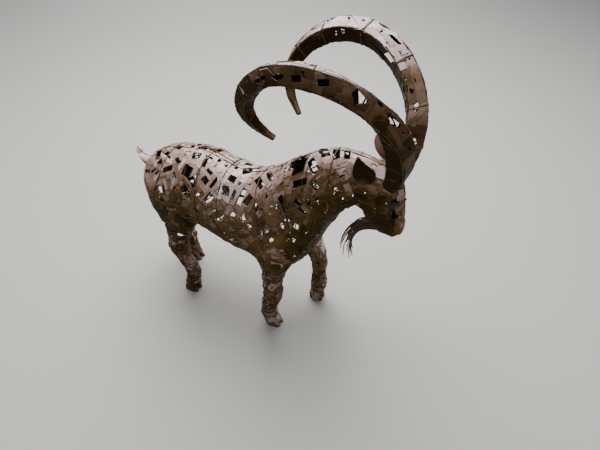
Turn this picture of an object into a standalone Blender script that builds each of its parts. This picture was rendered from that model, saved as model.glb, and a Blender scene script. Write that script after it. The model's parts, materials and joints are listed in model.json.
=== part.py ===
"""Ibex garden statue: a striding ibex of welded sheet-steel patches, with two long curled horns.

Metres, +Z up. The animal faces +X and its left side is +Y. The ground is Z = 0, and the origin is on the
ground under the middle of the statue's box.
"""

import math
import random

import bmesh
import bpy
from mathutils import Vector

# The figure is drawn on a grid of 120 squares to its height. A square is 10 mm at this size, so the
# tables of stations below read as centimetres.
STATUE_HEIGHT = 1.20
GRID = STATUE_HEIGHT / 120

# Stock that the statue is welded from, which keeps its own size.
SHEET = 0.003
BEARD_ROD = 0.0042
EYE_BALL = 0.026
WELD_GAP = 0.0004  # clear space between two welded pieces

# The skin is laid out in patches of about this size, and a share of them is left open.
PATCH = 0.034
OPEN_SHARE = 0.28
OPEN_MARGIN = 0.0062
OPEN_DEPTH = 0.009

TRUNK_SIDES = 28
LEG_SIDES = 12
HORN_SIDES = 8

RUST = (0.22, 0.105, 0.055, 1.0)
DARK_RUST = (0.12, 0.06, 0.035, 1.0)

# Trunk, neck and head, from the buttocks to the muzzle. Each station is cut by a plane square to the middle
# plane: top x, top z, bottom x, bottom z, half-width.
TRUNK = (
    (-37.0, 57.8, -36.8, 51.0, 4.5),
    (-35.2, 61.8, -34.0, 47.0, 8.6),
    (-31.0, 65.0, -29.4, 42.4, 11.2),
    (-25.5, 67.2, -27.0, 40.6, 12.9),
    (-18.0, 68.8, -18.5, 41.8, 13.2),
    (-9.0, 69.4, -9.0, 40.6, 13.6),
    (0.0, 67.4, 0.0, 38.0, 14.2),
    (8.0, 66.0, 8.0, 35.9, 14.4),
    (15.0, 68.2, 16.0, 33.6, 13.8),
    (21.0, 71.7, 24.0, 32.0, 12.8),
    (26.5, 75.6, 31.0, 35.3, 11.6),
    (32.0, 79.4, 36.3, 43.4, 10.2),
    (37.5, 82.3, 40.2, 52.6, 8.9),
    (43.0, 84.0, 43.8, 59.7, 7.9),
    (48.5, 84.2, 47.3, 65.0, 7.1),
    (54.0, 83.2, 50.4, 68.0, 6.6),
    (59.0, 81.8, 52.2, 67.4, 6.4),
    (62.8, 79.2, 53.4, 66.2, 6.1),
    (64.6, 74.0, 54.6, 64.2, 5.6),
    (65.2, 69.5, 56.2, 62.3, 4.8),
    (65.8, 65.2, 58.0, 60.8, 4.1),
    (66.4, 61.8, 60.4, 59.5, 3.6),
    (66.0, 60.0, 63.0, 59.2, 2.7),
)
TRUNK_ROUNDNESS = 2.3
BELLY_SWELL = 0.14  # how much wider the trunk is below its middle than above

# Legs, from inside the trunk down to the sole: x, y, z, half-depth fore and aft, half-width.
LEGS = {
    "right_fore": (
        (21.4, -7.5, 50.0, 8.1, 4.6),
        (22.4, -8.8, 43.0, 7.5, 4.6),
        (23.3, -9.6, 37.0, 5.5, 4.0),
        (22.9, -10.0, 31.0, 4.0, 3.3),
        (22.2, -10.2, 25.5, 3.3, 2.8),
        (22.2, -10.2, 20.0, 3.4, 2.8),
        (21.6, -10.2, 15.5, 3.3, 2.4),
        (20.2, -10.2, 10.5, 2.8, 2.3),
        (19.8, -10.2, 6.8, 3.0, 2.4),
        (20.2, -10.2, 4.4, 2.7, 2.4),
        (22.4, -10.2, 0.0, 3.1, 2.7),
    ),
    "left_fore": (
        (22.6, 7.5, 50.0, 8.6, 4.6),
        (25.0, 8.8, 42.0, 7.0, 4.5),
        (28.2, 9.8, 36.0, 4.8, 3.9),
        (30.9, 10.4, 30.0, 3.2, 3.3),
        (32.3, 10.8, 25.0, 2.8, 2.9),
        (33.1, 11.0, 20.0, 2.4, 2.6),
        (33.0, 11.0, 15.5, 2.3, 2.4),
        (33.2, 11.0, 10.5, 2.8, 2.6),
        (32.9, 11.0, 6.5, 2.6, 2.4),
        (32.3, 11.0, 4.2, 2.4, 2.4),
        (32.5, 11.0, 0.0, 3.0, 2.7),
    ),
    "right_hind": (
        (-23.3, -7.6, 57.0, 7.8, 4.4),
        (-21.6, -8.6, 49.5, 8.7, 4.9),
        (-19.9, -9.4, 42.0, 7.2, 4.6),
        (-20.7, -9.6, 36.5, 5.3, 3.9),
        (-22.4, -9.6, 30.5, 4.0, 3.2),
        (-23.6, -9.6, 25.5, 3.9, 2.9),
        (-21.6, -9.4, 19.5, 2.8, 2.5),
        (-19.1, -9.2, 14.5, 2.6, 2.5),
        (-18.8, -9.2, 10.0, 2.6, 2.3),
        (-20.0, -9.2, 4.6, 2.7, 2.3),
        (-20.7, -9.2, 0.0, 3.4, 2.7),
    ),
    "left_hind": (
        (-25.0, 7.6, 57.0, 8.6, 4.4),
        (-24.4, 8.4, 49.5, 9.4, 4.9),
        (-25.0, 8.8, 42.0, 7.6, 4.6),
        (-28.5, 8.9, 36.0, 5.6, 3.9),
        (-33.1, 8.9, 30.5, 4.0, 3.2),
        (-35.8, 8.8, 25.5, 4.0, 2.9),
        (-34.8, 8.7, 19.5, 2.8, 2.5),
        (-33.6, 8.6, 14.5, 2.6, 2.5),
        (-33.2, 8.5, 10.0, 2.6, 2.3),
        (-32.1, 8.4, 4.6, 2.7, 2.3),
        (-31.2, 8.4, 0.0, 3.4, 2.7),
    ),
}
LEG_ROUNDNESS = 2.7
CLEFT_WIDTH = 0.006
CLEFT_DEPTH = 3.0
CLEFT_HEIGHT = 3.6

# The left horn's centreline, from inside the skull to the tip: x, y, z, side of its square section.
HORN = (
    (59.4, 2.6, 77.5, 4.6),
    (61.9, 4.2, 82.5, 5.5),
    (63.6, 6.3, 88.8, 5.7),
    (62.8, 9.2, 96.6, 5.6),
    (59.4, 12.5, 103.7, 5.5),
    (53.3, 16.0, 109.8, 5.3),
    (45.8, 18.5, 113.5, 5.1),
    (37.6, 19.3, 114.7, 5.0),
    (29.6, 18.6, 112.9, 4.7),
    (22.8, 17.0, 108.0, 4.2),
    (18.9, 14.9, 100.9, 3.5),
    (19.9, 12.0, 94.2, 2.5),
    (24.6, 8.8, 88.6, 1.1),
)
HORN_ROUNDNESS = 9.0
HORN_TWIST = (math.radians(5), math.radians(72))  # how far the section has turned at root and tip

# The right ear's outline, seen from its side: x, z. It is cut from flat sheet and bent in to the skull.
EAR = (
    (51.6, 88.6),
    (55.2, 88.0),
    (57.0, 85.4),
    (58.6, 82.6),
    (58.6, 79.8),
    (56.0, 80.4),
    (52.8, 80.4),
    (50.4, 82.6),
    (50.6, 85.4),
)
EAR_MIDDLE = (54.2, 84.0)
EAR_STAND_OFF = 8.4
EAR_BEND = (55.6, 3.6, 3.2)  # x where the bend starts, its length, and how far it turns in
EAR_CUP = 0.7

# The tail is a sheet rolled to an upturned spout, open along its top: x, z, half-width.
TAIL = (
    (-34.0, 58.9, 2.8),
    (-37.6, 58.4, 2.7),
    (-40.6, 59.0, 2.2),
    (-43.0, 60.8, 1.4),
    (-44.6, 63.4, 0.6),
)
TAIL_ARC = math.radians(126)

# The beard's middle rod, from inside the chin: x, z. The other rods fan out round it.
BEARD = (
    (60.4, 60.4),
    (57.8, 60.2),
    (54.3, 59.2),
    (51.4, 57.2),
    (49.2, 53.2),
    (47.9, 48.2),
    (48.3, 42.2),
)
BEARD_ROWS = ((-0.85, 4), (0.0, 3), (0.85, 4))  # height over the middle rod, and rods in the row
BEARD_PITCH = 0.78
BEARD_FAN = 3.4  # how many times further apart the tips are than the roots

EYE = (63.0, 4.3, 72.8)

picker = random.Random(7)


def clear_scene():
    for obj in list(bpy.data.objects):
        bpy.data.objects.remove(obj, do_unlink=True)


def new_collection(name):
    made = bpy.data.collections.new(name)
    bpy.context.scene.collection.children.link(made)
    return made


def steel(name, colour, roughness, metallic):
    made = bpy.data.materials.new(name)
    made.use_nodes = True
    shader = made.node_tree.nodes["Principled BSDF"]
    shader.inputs["Base Color"].default_value = colour
    shader.inputs["Roughness"].default_value = roughness
    shader.inputs["Metallic"].default_value = metallic
    return made


def add_object(name, shape, material, collection):
    """A new object from a bmesh, which is used up."""
    mesh = bpy.data.meshes.new(name)
    bmesh.ops.recalc_face_normals(shape, faces=shape.faces)
    shape.to_mesh(mesh)
    shape.free()
    mesh.materials.append(material)
    obj = bpy.data.objects.new(name, mesh)
    collection.objects.link(obj)
    return obj


def through(points, t):
    """The value at t, from 0 to 1, on a smooth curve through rows of numbers."""
    last = len(points) - 1
    place = min(max(t, 0.0), 1.0) * last
    i = min(int(place), last - 1)
    f = place - i
    before, here, there, after = (points[min(max(k, 0), last)] for k in (i - 1, i, i + 1, i + 2))
    return tuple(
        0.5 * (2 * b + (c - a) * f + (2 * a - 5 * b + 4 * c - d) * f**2 + (3 * b - a - 3 * c + d) * f**3)
        for a, b, c, d in zip(before, here, there, after)
    )


def evenly(points, centre, step):
    """Values of t that walk along a table's centreline in equal steps of about this length."""
    fine = 400
    spots = [centre(through(points, i / fine)) for i in range(fine + 1)]
    run = [0.0]
    for a, b in zip(spots, spots[1:]):
        run.append(run[-1] + (b - a).length)
    count = max(2, round(run[-1] / step))
    found, k = [], 0
    for n in range(count + 1):
        while k < fine and run[k] < run[-1] * n / count:
            k += 1
        found.append(k / fine)
    return found


def rounded(angle, power):
    """Across and up shares of a rounded-square outline. Angle 0 is its top."""
    across, up = math.sin(angle), math.cos(angle)
    return (
        math.copysign(abs(across) ** (2 / power), across),
        math.copysign(abs(up) ** (2 / power), up),
    )


def loft(rings):
    """A closed bmesh through rings of equal count."""
    shape = bmesh.new()
    rows = [[shape.verts.new(point) for point in ring] for ring in rings]
    for low, high in zip(rows, rows[1:]):
        for i in range(len(low)):
            j = (i + 1) % len(low)
            shape.faces.new((low[i], low[j], high[j], high[i]))
    shape.faces.new(rows[0])
    shape.faces.new(rows[-1])
    return shape


def trunk_centre(row):
    return Vector(((row[0] + row[2]) / 2, 0, (row[1] + row[3]) / 2)) * GRID


def trunk_ring(row):
    top, bottom = Vector((row[0], 0, row[1])) * GRID, Vector((row[2], 0, row[3])) * GRID
    middle, rise, half_width = (top + bottom) / 2, (top - bottom) / 2, row[4] * GRID
    ring = []
    for i in range(TRUNK_SIDES):
        across, up = rounded(2 * math.pi * i / TRUNK_SIDES, TRUNK_ROUNDNESS)
        side = half_width * across * (1 - BELLY_SWELL * up)
        ring.append(middle + rise * up + Vector((0, side, 0)))
    return ring


def make_trunk(material, collection):
    rings = [trunk_ring(through(TRUNK, t)) for t in evenly(TRUNK, trunk_centre, PATCH)]
    return add_object("body", loft(rings), material, collection)


def leg_ring(row):
    x, y, z, half_depth, half_width = (value * GRID for value in row)
    ring = []
    for i in range(LEG_SIDES):
        along, over = rounded(2 * math.pi * (i + 0.5) / LEG_SIDES, LEG_ROUNDNESS)
        ring.append(Vector((x + half_depth * along, y + half_width * over, z)))
    return ring


def make_leg(name, material, collection):
    rows = LEGS[name]
    steps = evenly(rows, lambda row: Vector(row[:3]) * GRID, PATCH)
    rings = [leg_ring(through(rows, t)) for t in steps]
    return add_object(name, loft(rings), material, collection)


def box_cutter(name, centre, size, material, collection):
    shape = bmesh.new()
    bmesh.ops.create_cube(shape, size=1.0)
    bmesh.ops.scale(shape, vec=size, verts=shape.verts)
    bmesh.ops.translate(shape, vec=centre, verts=shape.verts)
    return add_object(name, shape, material, collection)


def apply_boolean(obj, other, operation):
    """Joins or cuts obj by other, and leaves the result as obj's own mesh."""
    modifier = obj.modifiers.new(operation.lower(), "BOOLEAN")
    modifier.operation = operation
    modifier.solver = "EXACT"
    modifier.object = other
    graph = bpy.context.evaluated_depsgraph_get()
    made = bpy.data.meshes.new_from_object(obj.evaluated_get(graph))
    obj.modifiers.clear()
    obj.data = made


def hide_helper(obj):
    obj.hide_render = True
    obj.display_type = "WIRE"


def join_legs(body, material, cutters):
    for name in LEGS:
        leg = make_leg(name, material, cutters)
        hide_helper(leg)
        apply_boolean(body, leg, "UNION")
    for name, rows in LEGS.items():
        x, y, _, half_depth, _ = (value * GRID for value in rows[-1])
        size = Vector((CLEFT_DEPTH * GRID, CLEFT_WIDTH, CLEFT_HEIGHT * GRID))
        toe = Vector((x + half_depth, y, 0))
        cleft = box_cutter(name + "_cleft", toe, size, material, cutters)
        hide_helper(cleft)
        apply_boolean(body, cleft, "DIFFERENCE")


def seat(piece, others, way):
    """Cuts a welded-on piece to the surfaces that it meets, and stands it off by the weld gap."""
    for other in others:
        apply_boolean(piece, other, "DIFFERENCE")
    for vertex in piece.data.vertices:
        vertex.co += way.normalized() * WELD_GAP


def mirrored(points):
    return [Vector((p.x, -p.y, p.z)) for p in points]


def horn_rings():
    """Rings of the left horn. Its square section starts flat side forward, and turns as it goes."""
    steps = evenly(HORN, lambda row: Vector(row[:3]) * GRID, PATCH)
    hub = sum((Vector(row[:3]) for row in HORN[2:]), Vector()) / len(HORN[2:]) * GRID
    rings = []
    for t in steps:
        row = through(HORN, t)
        spot, half = Vector(row[:3]) * GRID, row[3] * GRID / 2
        ahead = Vector(through(HORN, t + 0.01)[:3]) - Vector(through(HORN, t - 0.01)[:3])
        ahead.normalize()
        out = (spot - hub) - ahead * (spot - hub).dot(ahead)
        out.normalize()
        side = ahead.cross(out)
        turn = HORN_TWIST[0] + (HORN_TWIST[1] - HORN_TWIST[0]) * t
        side, out = (
            side * math.cos(turn) - out * math.sin(turn),
            side * math.sin(turn) + out * math.cos(turn),
        )
        ring = []
        for i in range(HORN_SIDES):
            across, up = rounded(2 * math.pi * (i + 0.5) / HORN_SIDES, HORN_ROUNDNESS)
            ring.append(spot + side * half * across + out * half * up)
        rings.append(ring)
    return rings


def make_horns(body, material, collection):
    rings = horn_rings()
    for name, shape in (("horn_left", rings), ("horn_right", [mirrored(ring) for ring in rings])):
        horn = add_object(name, loft(shape), material, collection)
        seat(horn, [body], Vector((0, 0, 1)))
        open_patches(horn, is_open_on_horn)


def ear_shape(side):
    """The ear's sheet as rings of its outline drawn in to its middle, then bent and cupped."""
    outline = [through(EAR + EAR[:1], i / 14) for i in range(14)]
    bend_at, bend_length, bend_in = EAR_BEND
    shape = bmesh.new()

    def on_sheet(x, z, share):
        turn = min(max((x - bend_at) / bend_length, 0.0), 1.0)
        stand_off = EAR_STAND_OFF - bend_in * turn**2 - EAR_CUP * (1 - share**2)
        return shape.verts.new(Vector((x, side * stand_off, z)) * GRID)

    rows = []
    for share in (1.0, 0.5):
        rows.append(
            [
                on_sheet(
                    EAR_MIDDLE[0] + (x - EAR_MIDDLE[0]) * share,
                    EAR_MIDDLE[1] + (z - EAR_MIDDLE[1]) * share,
                    share,
                )
                for x, z in outline
            ]
        )
    hub = on_sheet(EAR_MIDDLE[0], EAR_MIDDLE[1], 0.0)
    for outer, inner in zip(rows, rows[1:]):
        for i in range(len(outer)):
            j = (i + 1) % len(outer)
            shape.faces.new((outer[i], outer[j], inner[j], inner[i]))
    for i in range(len(outline)):
        shape.faces.new((rows[-1][i], rows[-1][(i + 1) % len(outline)], hub))
    return shape


def thicken(obj, thickness):
    modifier = obj.modifiers.new("thickness", "SOLIDIFY")
    modifier.thickness = thickness
    modifier.offset = 0
    graph = bpy.context.evaluated_depsgraph_get()
    made = bpy.data.meshes.new_from_object(obj.evaluated_get(graph))
    obj.modifiers.clear()
    obj.data = made


def make_ears(body, material, collection):
    for name, side in (("ear_left", 1), ("ear_right", -1)):
        ear = add_object(name, ear_shape(side), material, collection)
        thicken(ear, SHEET)
        horn = bpy.data.objects[name.replace("ear", "horn")]
        seat(ear, [body, horn], Vector((-1, side, 0)))


def make_tail(body, material, collection):
    shape = bmesh.new()
    rows, steps = [], 7
    for t in evenly(TAIL, lambda row: Vector((row[0], 0, row[1])) * GRID, PATCH / 2):
        x, z, half_width = (value * GRID for value in through(TAIL, t))
        row = []
        for i in range(steps + 1):
            angle = TAIL_ARC * (2 * i / steps - 1)
            row.append(
                shape.verts.new((x, half_width * math.sin(angle), z - half_width * math.cos(angle)))
            )
        rows.append(row)
    for low, high in zip(rows, rows[1:]):
        for i in range(steps):
            shape.faces.new((low[i], low[i + 1], high[i + 1], high[i]))
    tail = add_object("tail", shape, material, collection)
    thicken(tail, SHEET)
    seat(tail, [body], Vector((-1, 0, 0)))


def rod_line(up, across, trim):
    """One beard rod's points. Rods lie together at the chin and fan out towards their tips."""
    line = []
    for i in range(9):
        t = i / 8
        x, z = through(BEARD, t * trim)
        spread = 1 + (BEARD_FAN - 1) * t**2
        line.append(Vector((x - 0.35 * up * spread, across * spread, z + up * spread * (1 - 0.75 * t))))
    return [point * GRID for point in line]


def make_beard(body, material, collection):
    count = 0
    for up, rods in BEARD_ROWS:
        for i in range(rods):
            count += 1
            across = (i - (rods - 1) / 2) * BEARD_PITCH
            trim = 1 - 0.22 * picker.random()
            curve = bpy.data.curves.new(f"beard_rod_{count}", "CURVE")
            curve.dimensions = "3D"
            curve.bevel_depth = BEARD_ROD / 2
            curve.bevel_resolution = 1
            curve.use_fill_caps = True
            spline = curve.splines.new("POLY")
            points = rod_line(up, across, trim)
            spline.points.add(len(points) - 1)
            for place, point in zip(spline.points, points):
                place.co = (*point, 1)
            guide = bpy.data.objects.new(curve.name + "_line", curve)
            collection.objects.link(guide)
            bpy.context.view_layer.update()
            graph = bpy.context.evaluated_depsgraph_get()
            mesh = bpy.data.meshes.new_from_object(guide.evaluated_get(graph))
            bpy.data.objects.remove(guide)
            shape = bmesh.new()
            shape.from_mesh(mesh)
            bmesh.ops.remove_doubles(shape, verts=shape.verts, dist=1e-5)
            rod = add_object(f"beard_rod_{count}", shape, material, collection)
            seat(rod, [body], Vector((-1, 0, 0)))


def make_eyes(body, material, collection):
    for name, side in (("eye_left", 1), ("eye_right", -1)):
        shape = bmesh.new()
        bmesh.ops.create_uvsphere(shape, u_segments=12, v_segments=7, radius=EYE_BALL / 2)
        middle = Vector((EYE[0], side * EYE[1], EYE[2])) * GRID
        bmesh.ops.translate(shape, vec=middle, verts=shape.verts)
        eye = add_object(name, shape, material, collection)
        seat(eye, [body], Vector((0.4, side, 0)))


def is_open_on_body(spot):
    """Openings are left in the trunk, the neck and the clear lengths of the legs, and not in the face."""
    x, z = spot.x / GRID, spot.z / GRID
    hoof = z < 7.0
    face = x > 55.0
    tail_root = x < -36.0 and 54.0 < z < 64.0
    return not (hoof or face or tail_root)


def is_open_on_horn(spot):
    x, z = spot.x / GRID, spot.z / GRID
    base = z < 86.0 and x > 50.0
    return not base


def open_patches(obj, allowed):
    """Sinks the openings between the patches: whole windows, and halves of a patch cut corner to corner."""
    shape = bmesh.new()
    shape.from_mesh(obj.data)
    least = (PATCH * 0.62) ** 2
    for face in list(shape.faces):
        four = len(face.verts) == 4 and face.calc_area() > least
        if not four or not allowed(face.calc_center_median()) or picker.random() > OPEN_SHARE:
            continue
        hole = face
        if picker.random() < 0.35:
            corner = picker.randrange(2)
            halves = bmesh.utils.face_split(face, face.verts[corner], face.verts[corner + 2])
            hole = halves[0]
        margin = OPEN_MARGIN * (0.55 if len(hole.verts) == 3 else picker.uniform(0.7, 1.15))
        bmesh.ops.inset_individual(shape, faces=[hole], thickness=margin, depth=-OPEN_DEPTH)
    bmesh.ops.recalc_face_normals(shape, faces=shape.faces)
    shape.to_mesh(obj.data)
    shape.free()


def stand_over_origin(collection):
    """Moves the statue along X so that the origin is under the middle of its box."""
    spots = [vertex.co.x for obj in collection.objects for vertex in obj.data.vertices]
    shift = -(min(spots) + max(spots)) / 2
    for obj in collection.objects:
        for vertex in obj.data.vertices:
            vertex.co.x += shift


def main():
    clear_scene()
    statue = new_collection("ibex_statue")
    cutters = new_collection("cutters")
    sheet = steel("rusted_sheet", RUST, 0.5, 0.6)
    rod = steel("dark_rod", DARK_RUST, 0.55, 0.6)
    ball = steel("eye_steel", DARK_RUST, 0.2, 0.9)
    body = make_trunk(sheet, statue)
    join_legs(body, sheet, cutters)
    make_horns(body, sheet, statue)
    make_ears(body, sheet, statue)
    make_tail(body, sheet, statue)
    make_beard(body, rod, statue)
    make_eyes(body, ball, statue)
    open_patches(body, is_open_on_body)
    stand_over_origin(statue)


main()
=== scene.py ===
import json
import math
import random

import bmesh
import bpy
import numpy as np
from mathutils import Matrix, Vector
from mathutils.bvhtree import BVHTree

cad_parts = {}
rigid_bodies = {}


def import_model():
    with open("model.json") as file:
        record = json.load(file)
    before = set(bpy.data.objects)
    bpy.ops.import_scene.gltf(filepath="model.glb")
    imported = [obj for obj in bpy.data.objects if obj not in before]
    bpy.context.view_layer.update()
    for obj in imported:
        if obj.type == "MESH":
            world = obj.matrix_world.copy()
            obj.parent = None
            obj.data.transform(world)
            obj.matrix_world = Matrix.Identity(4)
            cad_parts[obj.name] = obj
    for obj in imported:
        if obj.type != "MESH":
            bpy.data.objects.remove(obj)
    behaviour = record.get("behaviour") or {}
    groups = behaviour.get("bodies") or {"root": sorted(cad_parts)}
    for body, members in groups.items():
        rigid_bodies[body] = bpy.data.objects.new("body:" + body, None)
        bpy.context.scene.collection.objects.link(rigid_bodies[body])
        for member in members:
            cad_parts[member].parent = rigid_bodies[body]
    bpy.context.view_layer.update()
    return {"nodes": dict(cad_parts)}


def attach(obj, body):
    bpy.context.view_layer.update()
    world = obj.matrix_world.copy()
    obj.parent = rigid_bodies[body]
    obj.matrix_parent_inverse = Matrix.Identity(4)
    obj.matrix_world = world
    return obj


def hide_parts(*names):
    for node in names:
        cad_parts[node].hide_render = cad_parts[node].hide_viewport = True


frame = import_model()

# The form of the trunk, neck and head, which the maker bent up first from thin round bar. The drawing is on
# a grid of 10 mm squares: top x, top z, bottom x, bottom z and half-width of each cross-section, from the
# rump to the muzzle. Its zero is under the belly, and the statue's own zero is a little ahead of it.
GRID = 0.01
AHEAD = 0.1102

TRUNK = (
    (-37.0, 57.8, -36.8, 51.0, 4.5), (-35.2, 61.8, -34.0, 47.0, 8.6), (-31.0, 65.0, -29.4, 42.4, 11.2),
    (-25.5, 67.2, -27.0, 40.6, 12.9), (-18.0, 68.8, -18.5, 41.8, 13.2), (-9.0, 69.4, -9.0, 40.6, 13.6),
    (0.0, 67.4, 0.0, 38.0, 14.2), (8.0, 66.0, 8.0, 35.9, 14.4), (15.0, 68.2, 16.0, 33.6, 13.8),
    (21.0, 71.7, 24.0, 32.0, 12.8), (26.5, 75.6, 31.0, 35.3, 11.6), (32.0, 79.4, 36.3, 43.4, 10.2),
    (37.5, 82.3, 40.2, 52.6, 8.9), (43.0, 84.0, 43.8, 59.7, 7.9), (48.5, 84.2, 47.3, 65.0, 7.1),
    (54.0, 83.2, 50.4, 68.0, 6.6), (59.0, 81.8, 52.2, 67.4, 6.4), (62.8, 79.2, 53.4, 66.2, 6.1),
    (64.6, 74.0, 54.6, 64.2, 5.6), (65.2, 69.5, 56.2, 62.3, 4.8), (65.8, 65.2, 58.0, 60.8, 4.1),
    (66.4, 61.8, 60.4, 59.5, 3.6), (66.0, 60.0, 63.0, 59.2, 2.7),
)

# The photo's camera: where it stands, how far it looks down and turns, and its focal length in pixels. The
# gaps are outlined on the photo, and this view finds where those outlines lie on the forms.
VIEWPOINT = np.array((0.8679 - AHEAD, -1.1775, 1.600))
TILT, YAW, FOCAL = math.radians(40.298), math.radians(26.065), 464.18
PHOTO_MIDDLE = 300, 225


def in_photo(points):
    """Where the photo shows points of the statue, in pixels from its left and top edges."""
    right = np.array((math.cos(YAW), math.sin(YAW), 0))
    ahead = np.array((-math.sin(YAW) * math.cos(TILT), math.cos(YAW) * math.cos(TILT), -math.sin(TILT)))
    away = points - VIEWPOINT
    depth = away @ ahead
    u = PHOTO_MIDDLE[0] + FOCAL * (away @ right) / depth
    v = PHOTO_MIDDLE[1] + FOCAL * (away @ np.cross(ahead, right)) / depth
    return np.stack([u, v], axis=-1)


def along(rows, t):
    """Smooth values between a table's rows, for t from 0 to 1."""
    rows = np.asarray(rows, float)
    last = len(rows) - 1
    place = np.clip(t, 0, 1) * last
    i = np.minimum(place.astype(int), last - 1)
    f = (place - i)[:, None]
    a, b, c, d = (rows[np.clip(i + k, 0, last)] for k in (-1, 0, 1, 2))
    return 0.5 * (2 * b + (c - a) * f + (2 * a - 5 * b + 4 * c - d) * f**2 + (3 * b - a - 3 * c + d) * f**3)


def round_square(count, power, start=0.0):
    """Across and up shares of a rounded square's outline, starting at the middle of its top."""
    angle = 2 * math.pi * np.arange(count) / count + start
    across, up = np.sin(angle), np.cos(angle)
    return (
        np.sign(across) * np.abs(across) ** (2 / power),
        np.sign(up) * np.abs(up) ** (2 / power),
    )


def join_rings(shape, rings):
    """Faces from each ring of points to the next."""
    for low, high in zip(rings, rings[1:]):
        for i in range(len(low)):
            j = (i + 1) % len(low)
            shape.faces.new((low[i], low[j], high[j], high[i]))


class Form:
    """A smooth form to lay patches on.

    A place on it is a distance along it in metres and a share of the way round."""

    AROUND = 96

    def __init__(self, rings):
        rings = rings * GRID - np.array([AHEAD, 0, 0])
        closed = np.concatenate([rings, rings[:, :1]], axis=1)
        even = np.empty((len(rings), self.AROUND + 1, 3))
        girth = np.empty(len(rings))
        for n, ring in enumerate(closed):
            walked = np.concatenate([[0], np.cumsum(np.linalg.norm(np.diff(ring, axis=0), axis=1))])
            girth[n] = walked[-1]
            for k in range(3):
                even[n, :, k] = np.interp(np.linspace(0, walked[-1], self.AROUND + 1), walked, ring[:, k])
        middle = rings.mean(axis=1)
        run = np.concatenate([[0], np.cumsum(np.linalg.norm(np.diff(middle, axis=0), axis=1))])
        self.length = run[-1]
        self.rows = round(self.length / 0.008)
        spots = np.linspace(0, self.length, self.rows + 1)
        self.girth = np.interp(spots, run, girth)
        self.middle = np.stack([np.interp(spots, run, middle[:, k]) for k in range(3)], axis=1)
        self.grid = np.empty((self.rows + 1, self.AROUND + 1, 3))
        for j in range(self.AROUND + 1):
            for k in range(3):
                self.grid[:, j, k] = np.interp(spots, run, even[:, j, k])
        ahead = np.gradient(self.grid, axis=0)
        wide = np.concatenate([self.grid[:, -2:-1], self.grid, self.grid[:, 1:2]], axis=1)
        normal = np.cross(ahead, wide[:, 2:] - wide[:, :-2])
        out = np.sum(normal * (self.grid - self.middle[:, None]), axis=2, keepdims=True)
        normal *= np.sign(out)
        self.normal = normal / np.maximum(np.linalg.norm(normal, axis=2, keepdims=True), 1e-9)
        self.low = self.grid.reshape(-1, 3).min(axis=0)
        self.high = self.grid.reshape(-1, 3).max(axis=0)
        self.tree = self.closed_tree()
        self.shown = in_photo(self.grid)
        self.toward = np.sum(self.normal * (VIEWPOINT - self.grid), axis=2) > 0

    def under_pixel(self, u, v, far=False):
        """Distance along and share round where a pixel meets the form, or leaves it on the far side.

        The third value is how many pixels the nearest place on the grid is off."""
        miss = np.hypot(self.shown[..., 0] - u, self.shown[..., 1] - v)
        miss[self.toward == far] = np.inf
        i, j = np.unravel_index(np.argmin(miss), miss.shape)
        off = miss[i, j]
        i, j = min(max(i, 1), self.rows - 1), j % self.AROUND
        around = self.shown[i, (j + 1) % self.AROUND] - self.shown[i, (j - 1) % self.AROUND]
        ahead = self.shown[i + 1, j] - self.shown[i - 1, j]
        way = np.stack([ahead / 2, around / 2], axis=1)
        slide = np.clip(np.linalg.lstsq(way, (u, v) - self.shown[i, j], rcond=None)[0], -0.6, 0.6)
        return (i + slide[0]) / self.rows * self.length, (j + slide[1]) / self.AROUND, off

    def closed_tree(self):
        """A search tree of the form with its ends closed, faces outwards."""
        shape = bmesh.new()
        rings = [[shape.verts.new(p) for p in ring[:-1]] for ring in self.grid]
        join_rings(shape, rings)
        shape.faces.new(rings[0][::-1])
        shape.faces.new(rings[-1])
        bmesh.ops.recalc_face_normals(shape, faces=shape.faces)
        tree = BVHTree.FromBMesh(shape)
        shape.free()
        return tree

    def look_up(self, table, x, share):
        u = np.clip(np.asarray(x) / self.length, 0, 1) * self.rows
        v = (np.asarray(share) % 1.0) * self.AROUND
        i = np.minimum(u.astype(int), self.rows - 1)
        j = np.minimum(v.astype(int), self.AROUND - 1)
        f, g = (u - i)[..., None], (v - j)[..., None]
        low = table[i, j] * (1 - g) + table[i, j + 1] * g
        high = table[i + 1, j] * (1 - g) + table[i + 1, j + 1] * g
        return low * (1 - f) + high * f

    def spot(self, x, share):
        return self.look_up(self.grid, x, share)

    def facing(self, x, share):
        found = self.look_up(self.normal, x, share)
        return found / np.maximum(np.linalg.norm(found, axis=-1, keepdims=True), 1e-9)

    def girth_at(self, x):
        return np.interp(x, np.linspace(0, self.length, self.rows + 1), self.girth)


def trunk_rings():
    rows = along(TRUNK, np.linspace(0, 1, 500))
    across, up = round_square(256, 2.3)
    middle_x, middle_z = (rows[:, 0] + rows[:, 2]) / 2, (rows[:, 1] + rows[:, 3]) / 2
    rise_x, rise_z = (rows[:, 0] - rows[:, 2]) / 2, (rows[:, 1] - rows[:, 3]) / 2
    x = middle_x[:, None] + rise_x[:, None] * up
    z = middle_z[:, None] + rise_z[:, None] * up
    y = rows[:, 4:5] * across * (1 - 0.14 * up)
    return np.stack([x, y, z], axis=2)


trunk = Form(trunk_rings())

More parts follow.
